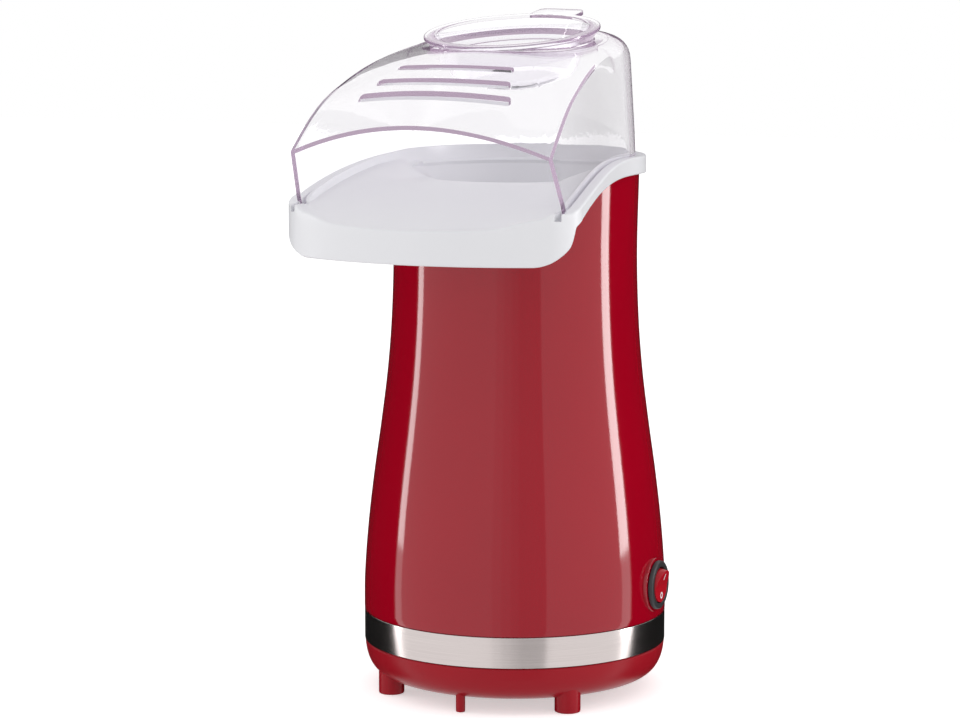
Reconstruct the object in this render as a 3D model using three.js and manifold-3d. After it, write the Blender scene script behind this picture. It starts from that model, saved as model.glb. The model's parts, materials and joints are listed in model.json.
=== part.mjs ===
// Hot-air popcorn maker, built as it comes apart on a bench: measuring cup, clear hood,
// popcorn chute, body shell, steel band and base pan outside; popping chamber, heater,
// fan, motor and wiring inside. Millimetres, +Z up, chute towards -Y, switch on +X.
import * as THREE from 'three';
import Module from 'manifold-3d';
import { mergeVertices } from 'three/addons/utils/BufferGeometryUtils.js';

const wasm = await Module();
wasm.setup();

// ---------------------------------------------------------------- driving dimensions

// Fits
const SEAT_GAP = 0.35; // between pieces that seat on each other
const RUN_GAP = 1.2; // between a running piece and what is around it
const MOULD_WALL = 2.2; // usual wall of the plastic mouldings

// Base pan, feet and front peg
const BODY_RADIUS = 70; // over the steel band
const PAN_HEIGHT = 16.3; // underside of the pan to its shoulder
const PAN_FLOOR_RADIUS = BODY_RADIUS - 13; // flat part of the underside
const FOOT_HEIGHT = 6.2; // floor to the pan's underside
const FOOT_RADIUS = 5.9;
const FOOT_CIRCLE = BODY_RADIUS - 9.4; // radius that the feet stand on
const FOOT_SPREAD = THREE.MathUtils.degToRad(46.5); // either side of the front-to-back line
const FOOT_CHAMFER = 0.6;
const PEG_RADIUS = 2.1;
const PEG_CIRCLE = BODY_RADIUS - 8.3;
const SPIGOT_HEIGHT = 7; // pan's locating rim inside the body
const INLET_SLOTS = 12;
const INLET_SLOT_WIDTH = 3;
const INLET_INNER = 16; // radius where the inlet slots start
const INLET_LENGTH = 20;

// Steel band
const BAND_HEIGHT = 13.9;
const BAND_THICKNESS = 0.6;

// Popping chamber, the air duct around it and the waist of the body around both
const CHAMBER_RADIUS = 44;
const CHAMBER_SHEET = 1.2;
const CHAMBER_BOTTOM = 112;
const CHAMBER_TOP = 202;
const CHAMBER_DOME = 5;
const DUCT_ROOM = 5; // hot air rises between chamber and duct
const DUCT_WALL = 2;
const DUCT_RADIUS = CHAMBER_RADIUS + DUCT_ROOM; // inside
const WAIST_ROOM = 5.1; // duct to the outside of the body
const WAIST_RADIUS = DUCT_RADIUS + DUCT_WALL + WAIST_ROOM;

// Body shell: share of the flare from the waist to the foot, at heights above the band's top
const BODY_FLARE = BODY_RADIUS + 0.1 - WAIST_RADIUS;
const BODY_STATIONS = [
  [0, 1],
  [16, 0.986],
  [40, 0.857],
  [64, 0.657],
  [88, 0.414],
  [112, 0.2],
  [136, 0.064],
  [166, 0],
  [202, 0.05],
  [222, 0.079],
];

// Base screws and their bosses
const SCREW_RADIUS = 1.5;
const SCREW_HEAD_RADIUS = 2.9;
const SCREW_HEAD_HEIGHT = 2;
const SCREW_LENGTH = 20;
const DUCT_SCREW_LENGTH = 12;
const BOSS_WALL = 2.4;

// Chute: seen from the side, the rim and the collar's lower edge fall towards the front
const RIM_HIGH = 248; // rim at the back
const RIM_LOW = 230.2; // rim at the front corners
const COLLAR_HIGH = 240.3; // collar's lower edge at the back
const COLLAR_LOW = 222; // and where it meets the front face
const SKIRT_LOW = 207.5; // lower edge of the front face
const COLLAR_RADIUS = WAIST_RADIUS + 3.9; // back half of the collar
const CHUTE_HALF_WIDTH = 69.3; // at the front corners
const CHUTE_REACH = 118; // body axis to the middle of the front face
const CHUTE_SIDE_END = 97; // where the sides meet the front face
const CHUTE_CORNER = 9;
const SKIRT_CORNER = 24; // seen from the front
const CHUTE_FLOOR = 222.5; // at the lip
const CHUTE_CREST = 238; // where the floor starts to fall, at the funnel
const TROUGH_BACK_HALF = 38; // half width where the trough leaves the body
const TROUGH_FILLET = 12;
const RIM_BEVEL = 28; // how far the rim's fall runs level with its end, and its rise there
const RIM_BEVEL_RISE = 10;
const RIM_SHOULDER = 39; // level part of the rim, from the body axis
const COLLAR_BEVEL = 21;
const COLLAR_BEVEL_RISE = 13;
const COLLAR_SHOULDER = 50;
const RIM_LEDGE = 5; // outside of the collar to the hood
const GROOVE_DEPTH = 3; // of the hood's groove below the rim
const UPSTAND_WALL = 1.6; // inner wall of the groove
const UPSTAND_RISE = 1.4; // how far it stands above the rim

// Clear hood
const HOOD_WALL = 2;
const HOOD_BACK_RADIUS = COLLAR_RADIUS - RIM_LEDGE;
const HOOD_FRONT_HALF = CHUTE_HALF_WIDTH - RIM_LEDGE - 0.5;
const HOOD_TOP_BACK_RADIUS = HOOD_BACK_RADIUS - 2.5; // where the walls turn into the roof
const HOOD_TOP_HALF = HOOD_FRONT_HALF - 5.6;
const HOOD_SHOULDER = 290;
const HOOD_SHOULDER_ROUND = 13;
const HOOD_RIDGE = [[-124, 253], [-110, 266.6], [-90, 281.4], [-65, 292.2], [-35, 298], [0, 301.5], [60, 306.5]];
const HOOD_EAVES = [[-124, 235], [-106, 253.4], [-82, 272], [-60, 281.4], [-35, 289], [0, 296.5], [60, 304]];
const HOOD_CROWN_HALF = 60; // the eaves are measured this far from the middle
const MOUTH_LOW = [-91.5, 225]; // mouth plane, [y, z] at the groove
const MOUTH_HIGH = [-104, 252.9]; // and at the eaves
const VENT_WIDTH = 3.4;
const VENT_BOW = 4.5; // forwards, in the middle
const VENTS = [[-88.6, 71.6], [-79, 63], [-66, 55]]; // [y at the ends, length]

// Measuring cup, in its own tilted frame under the middle of its rim
const CUP_RIM_RADIUS = 40.3;
const CUP_RIM_THICKNESS = 1.8;
const CUP_TOP_RADIUS = 36.9;
const CUP_BOTTOM_RADIUS = 26.5;
const CUP_DEPTH = 23;
const CUP_WALL = 1.7;
const CUP_ROUND = 7;
const CUP_TILT = THREE.MathUtils.degToRad(9.5);
const CUP_PLACE = new THREE.Vector3(0, -4.2, 304.7);
const CUP_TAB_WIDTH = 24;
const CUP_TAB_LENGTH = 10.5;
const CUP_TAB_RISE = 0.6;
const SEAT_RING_DEPTH = 9;
const SEAT_RING_WALL = 1.8;

// Rocker switch
const SWITCH_HEIGHT = 52.6;
const SWITCH_BEZEL_RADIUS = 11.2;
const SWITCH_BEZEL_THICKNESS = 2;
const SWITCH_BARREL_RADIUS = 9.9;
const SWITCH_BARREL_LENGTH = 15;
const SWITCH_PAD_RADIUS = 12.4;
const SWITCH_PAD_REACH = BODY_RADIUS + 0.5; // flat face of the pad, from the body axis
const ROCKER_RADIUS = 7.6;
const ROCKER_TILT = THREE.MathUtils.degToRad(10); // either side of level
const TERMINAL_SIZE = [8, 4.8, 0.8];
const TERMINAL_PITCH = 6;

// Cord bushing at the rear
const BUSHING_HEIGHT = 52.6;
const BUSHING_HOLE_RADIUS = 5;
const BUSHING_FLANGE_RADIUS = 7;
const BUSHING_BORE_RADIUS = 3.3;

// Louvres of the chamber and the foot of the duct
const LOUVRES = 16;
const LOUVRE_HEIGHT = 18;
const LOUVRE_WIDTH = 3;
const LOUVRE_SLANT = THREE.MathUtils.degToRad(32);
const DUCT_FLOOR = 64;
const DUCT_INLET_RADIUS = 24;
const DUCT_EARS = 3;
const DUCT_EAR_CIRCLE = DUCT_RADIUS + 6;
const SEAL_HEIGHT = 4;

// Heater
const MICA_HALF = DUCT_RADIUS - 7;
const MICA_HEIGHT = 22;
const MICA_SHEET = 0.8;
const HEATER_BOTTOM = 87;
const COIL_RADIUS = 32;
const COIL_WAVES = 10;
const COIL_STEPS = 6 * COIL_WAVES; // straight lengths round the coil
const COIL_SWING = 5;
const COIL_WIRE = 0.9;

// Motor and fan
const MOTOR_RADIUS = 13.8;
const MOTOR_LENGTH = 32;
const MOTOR_CAP = 4;
const SHAFT_RADIUS = 1.2;
const BRACKET_THICKNESS = 2.4;
const BRACKET_ARMS = 3;
const FAN_RADIUS = DUCT_RADIUS - 5;
const FAN_HUB_RADIUS = 9;
const FAN_HEIGHT = 12;
const FAN_BLADES = 7;
const FAN_BLADE_THICKNESS = 1.6;
const BOARD_RADIUS = 13;
const BOARD_THICKNESS = 1.6;
const DIODE_RADIUS = 1.4;
const DIODE_LENGTH = 5;

const ROUND = 32; // facets of a large round
const MIDDLE_ROUND = 18; // of a middling one
const SMALL_ROUND = 8; // of a screw or a boss

// ---------------------------------------------------------------- solids and outlines

/** Closed solid from a closed geometry, with its shared vertices merged. */
function toSolid(geometry) {
  const bare = geometry.clone();
  bare.deleteAttribute('normal');
  bare.deleteAttribute('uv');
  const merged = mergeVertices(bare, 1e-4);
  const points = merged.attributes.position.array;
  const corners = [];
  const index = merged.index.array;
  for (let i = 0; i < index.length; i += 3) {
    const [a, b, c] = index.slice(i, i + 3);
    if (a !== b && b !== c && c !== a) corners.push(a, b, c);
  }
  if (signedVolume(points, corners) < 0) corners.reverse();
  return new wasm.Manifold(new wasm.Mesh({
    numProp: 3,
    vertProperties: Float32Array.from(points),
    triVerts: Uint32Array.from(corners),
  }));
}

function signedVolume(points, corners) {
  const [a, b, c] = [new THREE.Vector3(), new THREE.Vector3(), new THREE.Vector3()];
  let total = 0;
  for (let i = 0; i < corners.length; i += 3) {
    a.fromArray(points, corners[i] * 3);
    b.fromArray(points, corners[i + 1] * 3);
    c.fromArray(points, corners[i + 2] * 3);
    total += a.dot(b.cross(c));
  }
  return total;
}

/** Geometry of a finished solid, for a mesh. */
function toGeometry(solid) {
  const mesh = solid.getMesh();
  const geometry = new THREE.BufferGeometry();
  geometry.setAttribute('position', new THREE.BufferAttribute(mesh.vertProperties, 3));
  geometry.setIndex(new THREE.BufferAttribute(mesh.triVerts, 1));
  geometry.computeVertexNormals();
  return geometry;
}

const join = (first, ...others) => others.reduce((whole, next) => whole.add(next), first);
const cut = (first, ...others) => others.reduce((whole, next) => whole.subtract(next), first);
const common = (first, ...others) => others.reduce((whole, next) => whole.intersect(next), first);
const move = (x, y, z) => new THREE.Matrix4().makeTranslation(x, y, z);
const turn = (angle) => new THREE.Matrix4().makeRotationZ(angle);

/** Shape from [a, b] pairs. */
function outline(pairs) {
  return new THREE.Shape(pairs.map(([a, b]) => new THREE.Vector2(a, b)));
}

/** Shape extruded from one level to another; the matrix lays it along another direction. */
function prism(shape, low, high, matrix = new THREE.Matrix4()) {
  const geometry = new THREE.ExtrudeGeometry(shape, { depth: high - low, bevelEnabled: false });
  return toSolid(geometry.translate(0, 0, low).applyMatrix4(matrix));
}

const X_AXIS = new THREE.Vector3(1, 0, 0);
const Y_AXIS = new THREE.Vector3(0, 1, 0);
const Z_AXIS = new THREE.Vector3(0, 0, 1);
/** A shape drawn in (y, z) runs along X; one drawn in (x, z) runs towards -Y. */
const ALONG_X = new THREE.Matrix4().makeBasis(Y_AXIS, Z_AXIS, X_AXIS);
const ALONG_MINUS_Y = new THREE.Matrix4().makeBasis(X_AXIS, Z_AXIS, Y_AXIS.clone().negate());

/** Closed [radius, height] outline turned about Z. */
function revolve(profile, facets = ROUND, matrix = new THREE.Matrix4()) {
  const points = [...profile, profile[0]].map(([r, z]) => new THREE.Vector2(r, z));
  const geometry = new THREE.LatheGeometry(points, facets);
  return toSolid(geometry.rotateX(Math.PI / 2).applyMatrix4(matrix));
}

/** Upright cylinder or cone between two heights. */
function rod(radius, low, high, matrix = new THREE.Matrix4(), facets = SMALL_ROUND, topRadius = radius) {
  return revolve([[0, low], [radius, low], [topRadius, high], [0, high]], facets, matrix);
}

/** Box given by its middle and size. */
function block(size, middle, matrix = new THREE.Matrix4()) {
  return toSolid(new THREE.BoxGeometry(...size).translate(...middle).applyMatrix4(matrix));
}

/** Triangles that fill a flat ring, wound the same way as the ring itself. */
function capFaces(ring) {
  const faces = THREE.ShapeUtils.triangulateShape(ring, []);
  return THREE.ShapeUtils.isClockWise(ring) ? faces.map(([a, b, c]) => [a, c, b]) : faces;
}

/** Solid between rings of equal count, closed by a cap on the first and last ring. */
function loft(rings, flatten) {
  const count = rings[0].length;
  const positions = rings.flat().flatMap((p) => p.toArray());
  const corners = [];
  for (let r = 0; r + 1 < rings.length; r += 1) {
    for (let i = 0; i < count; i += 1) {
      const next = (i + 1) % count;
      const [a, b] = [r * count + i, r * count + next];
      corners.push(a, b, b + count, a, b + count, a + count);
    }
  }
  const lastRing = (rings.length - 1) * count;
  capFaces(rings[0].map(flatten)).forEach(([a, b, c]) => corners.push(a, c, b));
  capFaces(rings.at(-1).map(flatten)).forEach(([a, b, c]) => (
    corners.push(lastRing + a, lastRing + b, lastRing + c)
  ));
  const geometry = new THREE.BufferGeometry();
  geometry.setAttribute('position', new THREE.Float32BufferAttribute(positions, 3));
  geometry.setIndex(corners);
  return toSolid(geometry);
}

const seenFromAbove = (p) => new THREE.Vector2(p.x, p.y);
const seenFromFront = (p) => new THREE.Vector2(p.x, p.z);

/** Smooth curve through [x, y] stations, as a function of x. */
function through(stations) {
  const curve = new THREE.CubicInterpolant(
    Float32Array.from(stations, (s) => s[0]),
    Float32Array.from(stations, (s) => s[1]),
    1,
    new Float32Array(1),
  );
  return (x) => curve.evaluate(x)[0];
}

/** Height of a cubic curve that runs towards -Y, level beyond its ends, as a function of y. */
function fallingCurve(start, startHandle, endHandle, end) {
  const points = [start, startHandle, endHandle, end].map(([y, z]) => new THREE.Vector2(y, z));
  const curve = new THREE.CubicBezierCurve(...points);
  return (y) => {
    let [low, high] = [0, 1];
    for (let i = 0; i < 30; i += 1) {
      const middle = (low + high) / 2;
      if (curve.getPoint(middle).x > y) low = middle;
      else high = middle;
    }
    return curve.getPoint(low).y;
  };
}

/** Evenly spaced values from one end to the other. */
function spread(from, to, steps) {
  return Array.from({ length: steps + 1 }, (_, i) => from + ((to - from) * i) / steps);
}

const smooth = (t) => THREE.MathUtils.smoothstep(t, 0, 1);
const polar = (radius, angle) => [radius * Math.cos(angle), radius * Math.sin(angle)];
const degrees = THREE.MathUtils.degToRad;

// ---------------------------------------------------------------- heights worked out

const PAN_BOTTOM = FOOT_HEIGHT;
const PAN_TOP = FOOT_HEIGHT + PAN_HEIGHT;
const BAND_BOTTOM = PAN_TOP + SEAT_GAP;
const BAND_TOP = BAND_BOTTOM + BAND_HEIGHT;
const BODY_BOTTOM = PAN_TOP + 2 * SEAT_GAP;
const BODY_STEP = BAND_TOP + SEAT_GAP;
const BAND_SEAT_RADIUS = BODY_RADIUS - BAND_THICKNESS - SEAT_GAP;
const SPIGOT_RADIUS = BAND_SEAT_RADIUS - MOULD_WALL - SEAT_GAP;
const PAN_FLOOR_TOP = PAN_BOTTOM + MOULD_WALL;
const BOSS_RADIUS = SCREW_RADIUS + BOSS_WALL;
const BOSS_JOINT = PAN_TOP + SPIGOT_HEIGHT; // where the pan's boss meets the body's post
const SCREW_SEAT = BOSS_JOINT - 11; // under the head of a base screw
const CHAMBER_FLANGE_RADIUS = DUCT_RADIUS + DUCT_WALL;
const SEAL_BOTTOM = CHAMBER_TOP + SEAT_GAP;
const FUNNEL_BOTTOM = SEAL_BOTTOM + SEAL_HEIGHT + SEAT_GAP;
const OVERHEAD = 1.3 * RIM_HIGH; // clear of everything, for cutting blocks
const BEYOND_FRONT = CHUTE_REACH + 2 * CHUTE_CORNER;
const INNER_BACK_RADIUS = HOOD_BACK_RADIUS - HOOD_WALL - SEAT_GAP - UPSTAND_WALL;
const INNER_HALF_WIDTH = HOOD_FRONT_HALF - HOOD_WALL - SEAT_GAP - UPSTAND_WALL;

const bodyRadius = through(BODY_STATIONS.map(([height, share]) => (
  [BAND_TOP + height, WAIST_RADIUS + BODY_FLARE * share]
)));
const rimLine = fallingCurve(
  [0, RIM_HIGH],
  [-RIM_SHOULDER, RIM_HIGH],
  [RIM_BEVEL - CHUTE_SIDE_END, RIM_LOW + RIM_BEVEL_RISE],
  [-CHUTE_SIDE_END, RIM_LOW],
);
const collarLine = fallingCurve(
  [0, COLLAR_HIGH],
  [-COLLAR_SHOULDER, COLLAR_HIGH],
  [COLLAR_BEVEL - CHUTE_SIDE_END, COLLAR_LOW + COLLAR_BEVEL_RISE],
  [-CHUTE_SIDE_END, COLLAR_LOW],
);
/** Lower edge of collar and skirt: the collar's line, then the lower edge of the front face. */
const skirtLine = (y) => (y < -CHUTE_SIDE_END ? SKIRT_LOW : collarLine(y));

// ---------------------------------------------------------------- assembly bookkeeping

const model = new THREE.Group();

/** Names a finished solid as one piece of the machine. */
function addPiece(name, solid, colour, roughness, metalness = 0, parent = model) {
  const material = new THREE.MeshStandardMaterial({ color: colour, roughness, metalness });
  const mesh = new THREE.Mesh(toGeometry(solid), material);
  mesh.name = name;
  parent.add(mesh);
  return mesh;
}

const RED = 0x9a0a1c;
const WHITE = 0xe6e6ea;
const CLEAR = 0xe9e4ee;
const STEEL = 0xc9c6c2;
const ALUMINIUM = 0xb9bcc0;
const BLACK = 0x24242a;
const BRASS = 0xb59a55;
const PHENOLIC = 0x4a3a30;

// ---------------------------------------------------------------- base pan, band, body

const footAngles = [Math.PI / 2, -Math.PI / 2]
  .flatMap((end) => [end - FOOT_SPREAD, end + FOOT_SPREAD]);
const footPlaces = footAngles.map((angle) => polar(FOOT_CIRCLE, angle));
const earAngles = spread(0, DUCT_EARS - 1, DUCT_EARS - 1)
  .map((i) => (i * 2 * Math.PI) / DUCT_EARS - Math.PI / 2);
const earPlaces = earAngles.map((angle) => polar(DUCT_EAR_CIRCLE, angle));

function panBowl() {
  const side = new THREE.QuadraticBezierCurve(
    new THREE.Vector2(PAN_FLOOR_RADIUS, PAN_BOTTOM),
    new THREE.Vector2(BODY_RADIUS - 1, PAN_BOTTOM + 0.8),
    new THREE.Vector2(BODY_RADIUS - 0.2, PAN_TOP),
  ).getPoints(3).map((p) => [p.x, p.y]);
  const inside = SPIGOT_RADIUS - MOULD_WALL;
  return revolve([
    [0, PAN_BOTTOM],
    ...side,
    [SPIGOT_RADIUS, PAN_TOP],
    [SPIGOT_RADIUS, PAN_TOP + SPIGOT_HEIGHT],
    [inside, PAN_TOP + SPIGOT_HEIGHT],
    [inside, PAN_TOP - 6],
    [PAN_FLOOR_RADIUS, PAN_FLOOR_TOP],
    [0, PAN_FLOOR_TOP],
  ]);
}

function inletSlots() {
  const slot = new THREE.Shape();
  const [start, end, half] = [INLET_INNER, INLET_INNER + INLET_LENGTH, INLET_SLOT_WIDTH / 2];
  slot.moveTo(start, -half);
  slot.lineTo(end, -half);
  slot.absarc(end, 0, half, -Math.PI / 2, Math.PI / 2);
  slot.lineTo(start, half);
  const geometrySlots = spread(0, INLET_SLOTS - 1, INLET_SLOTS - 1).map((i) => {
    const extrude = { depth: 2 * MOULD_WALL, bevelEnabled: false, curveSegments: 2 };
    const shape = new THREE.ExtrudeGeometry(slot, extrude).translate(0, 0, PAN_BOTTOM - 1);
    return toSolid(shape.applyMatrix4(turn((i * 2 * Math.PI) / INLET_SLOTS)));
  });
  return join(...geometrySlots);
}

function basePan() {
  const feet = footPlaces.map(([x, y]) => join(
    rod(FOOT_RADIUS - FOOT_CHAMFER, 0, FOOT_CHAMFER, move(x, y, 0), SMALL_ROUND, FOOT_RADIUS),
    rod(FOOT_RADIUS, FOOT_CHAMFER, SCREW_SEAT + 2, move(x, y, 0)),
    rod(BOSS_RADIUS, SCREW_SEAT, BOSS_JOINT, move(x, y, 0)),
  ));
  const peg = rod(PEG_RADIUS, 0, PAN_BOTTOM + 4, move(0, -PEG_CIRCLE, 0));
  const posts = earPlaces.map(([x, y]) => (
    rod(BOSS_RADIUS, PAN_FLOOR_TOP - 1, DUCT_FLOOR - SEAT_GAP, move(x, y, 0))
  ));
  const holes = footPlaces.map(([x, y]) => join(
    rod(SCREW_HEAD_RADIUS + SEAT_GAP, -1, SCREW_SEAT, move(x, y, 0)),
    rod(SCREW_RADIUS + SEAT_GAP, SCREW_SEAT - 1, BOSS_JOINT + 1, move(x, y, 0)),
  ));
  const pilots = earPlaces.map(([x, y]) => (
    rod(SCREW_RADIUS + SEAT_GAP, DUCT_FLOOR - DUCT_SCREW_LENGTH - 2, DUCT_FLOOR, move(x, y, 0))
  ));
  return cut(join(panBowl(), ...feet, peg, ...posts), ...holes, ...pilots, inletSlots());
}

function steelBand() {
  const inner = BODY_RADIUS - BAND_THICKNESS;
  return revolve([
    [inner, BAND_BOTTOM],
    [BODY_RADIUS, BAND_BOTTOM],
    [BODY_RADIUS, BAND_TOP],
    [inner, BAND_TOP],
  ]);
}

/** Wall of the body, stepped in at the foot where the steel band wraps it. */
function bodyWall() {
  const outside = spread(BODY_STEP, RIM_HIGH, 7).map((z) => [bodyRadius(z), z]);
  const inside = spread(RIM_HIGH, BODY_STEP + 4, 4).map((z) => [bodyRadius(z) - MOULD_WALL, z]);
  return revolve([
    [BAND_SEAT_RADIUS - MOULD_WALL, BODY_BOTTOM],
    [BAND_SEAT_RADIUS, BODY_BOTTOM],
    [BAND_SEAT_RADIUS, BODY_STEP],
    ...outside,
    ...inside,
    [BAND_SEAT_RADIUS - MOULD_WALL, BODY_STEP],
  ]);
}

/** Post inside the body for one base screw, tied to the wall by a rib. */
function bodyPost(angle) {
  const [low, high] = [BOSS_JOINT + SEAT_GAP, SCREW_SEAT + SCREW_LENGTH + 4];
  const reach = BAND_SEAT_RADIUS - SEAT_GAP - FOOT_CIRCLE;
  const size = [reach, MOULD_WALL, high - low];
  const middle = [FOOT_CIRCLE + reach / 2, 0, (low + high) / 2];
  return join(
    rod(BOSS_RADIUS, low, high, turn(angle).multiply(move(FOOT_CIRCLE, 0, 0))),
    block(size, middle, turn(angle)),
  );
}

const ALONG_PLUS_X = new THREE.Matrix4().makeBasis(Z_AXIS.clone().negate(), Y_AXIS, X_AXIS);
const switchFrame = move(0, 0, SWITCH_HEIGHT).multiply(ALONG_PLUS_X);
const bushingFrame = move(0, 0, BUSHING_HEIGHT).multiply(turn(Math.PI / 2)).multiply(ALONG_PLUS_X);

function bodyShell() {
  const posts = footAngles.map((angle) => bodyPost(angle));
  const pad = rod(SWITCH_PAD_RADIUS, BODY_RADIUS - MOULD_WALL - 1, SWITCH_PAD_REACH, switchFrame, MIDDLE_ROUND);
  const pilots = footPlaces.map(([x, y]) => (
    rod(SCREW_RADIUS + SEAT_GAP, BODY_BOTTOM, SCREW_SEAT + SCREW_LENGTH + 1, move(x, y, 0))
  ));
  const switchHole = rod(SWITCH_BARREL_RADIUS + SEAT_GAP, BODY_RADIUS - 9, BODY_RADIUS + 9, switchFrame, MIDDLE_ROUND);
  const cordHole = rod(BUSHING_HOLE_RADIUS + SEAT_GAP, BODY_RADIUS - 9, BODY_RADIUS + 9, bushingFrame, MIDDLE_ROUND);
  const collarRoom = above((y) => skirtLine(y) - SEAT_GAP);
  const shell = join(bodyWall(), pad, ...posts);
  return cut(shell, ...pilots, switchHole, cordHole, collarRoom, trough(MOULD_WALL + SEAT_GAP));
}

// ---------------------------------------------------------------- popcorn chute

/** Half of the chute's width at y, from a round back to straight, wider sides. */
function sideWidth(y, back, half) {
  if (y > 0) return Math.sqrt(Math.max(back * back - y * y, 0));
  return back + (half - back) * smooth(-y / CHUTE_SIDE_END);
}

/** Outline seen from above: round back, flared sides, bowed front with eased corners. */
function planPoints(back, half, reach = CHUTE_REACH) {
  const bow = CHUTE_REACH - CHUTE_SIDE_END;
  const bowRadius = (CHUTE_HALF_WIDTH ** 2 + bow ** 2) / (2 * bow);
  const frontY = (x) => -reach + bowRadius - Math.sqrt(bowRadius ** 2 - x ** 2);
  const start = half - CHUTE_CORNER;
  const slope = start / Math.sqrt(bowRadius ** 2 - start ** 2);
  const corner = new THREE.QuadraticBezierCurve(
    new THREE.Vector2(start, frontY(start)),
    new THREE.Vector2(half, frontY(start) + slope * CHUTE_CORNER),
    new THREE.Vector2(half, frontY(start) + (slope + 1) * CHUTE_CORNER),
  );
  const sideEnd = frontY(start) + (slope + 1) * CHUTE_CORNER;
  const right = [
    ...spread(0, start, 4).slice(0, -1).map((x) => [x, frontY(x)]),
    ...corner.getPoints(3).map((p) => [p.x, p.y]),
    ...spread(sideEnd, 0, 5).slice(1).map((y) => [sideWidth(y, back, half), y]),
    ...spread(0, Math.PI / 2, 8).slice(1).map((angle) => polar(back, angle)),
  ];
  const left = right.slice(1, -1).reverse().map(([x, y]) => [-x, y]);
  return [...right, ...left];
}

/** Upright block with the chute's plan, drawn in by an inset. */
function planBlock(back, half, reach) {
  return prism(outline(planPoints(back, half, reach)), PAN_TOP, OVERHEAD);
}

/** Everything above a line that is drawn in the side view. */
function above(line) {
  const [front, back] = [-2 * CHUTE_REACH, CHUTE_REACH];
  const edge = [front, -CHUTE_SIDE_END - 0.01, ...spread(-CHUTE_SIDE_END, 0, 10), back].map((y) => [y, line(y)]);
  return prism(outline([...edge, [back, OVERHEAD], [front, OVERHEAD]]), -2 * BODY_RADIUS, 2 * BODY_RADIUS, ALONG_X);
}

/** Height of the trough's floor: level over the funnel, then falling to the lip. */
function floorLine(y) {
  const run = (-y - INNER_BACK_RADIUS) / (CHUTE_REACH - INNER_BACK_RADIUS);
  return THREE.MathUtils.lerp(CHUTE_CREST, CHUTE_FLOOR, Math.max(run, 0));
}

/** Trough from the chamber mouth to the lip, grown outwards on every side. */
function trough(grown) {
  const stations = spread(TROUGH_BACK_HALF / 2, CHUTE_REACH + 12, 7);
  const rings = stations.map((reach) => {
    const flare = smooth((reach - TROUGH_BACK_HALF) / (CHUTE_SIDE_END - TROUGH_BACK_HALF));
    const half = THREE.MathUtils.lerp(TROUGH_BACK_HALF, INNER_HALF_WIDTH, flare) + grown;
    const floor = floorLine(-reach) - grown;
    const fillet = TROUGH_FILLET + grown;
    const round = spread(0, Math.PI / 2, 3).map((angle) => [
      half - fillet + fillet * Math.cos(angle),
      floor + fillet - fillet * Math.sin(angle),
    ]);
    const right = [[half, OVERHEAD], ...round];
    const left = right.map(([x, z]) => [-x, z]).reverse();
    return [...right, ...left].map(([x, z]) => new THREE.Vector3(x, -reach, z));
  });
  return loft(rings, seenFromFront);
}

/** Round funnel that drops into the body, over the chamber's mouth. */
function funnel(inside) {
  const wall = inside ? 0 : MOULD_WALL;
  const throat = CHAMBER_RADIUS + 0.5 + wall;
  const mouth = inside ? INNER_BACK_RADIUS : bodyRadius(FUNNEL_BOTTOM) - MOULD_WALL - SEAT_GAP;
  const [low, high] = inside ? [CHAMBER_TOP, OVERHEAD] : [FUNNEL_BOTTOM, COLLAR_HIGH];
  const shoulder = FUNNEL_BOTTOM + 6;
  return revolve([
    [0, low],
    [throat, low],
    [throat, shoulder],
    [throat + (mouth - throat) * 0.55, shoulder + 7],
    [mouth, COLLAR_HIGH - 6],
    [mouth, high],
    [0, high],
  ]);
}

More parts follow.
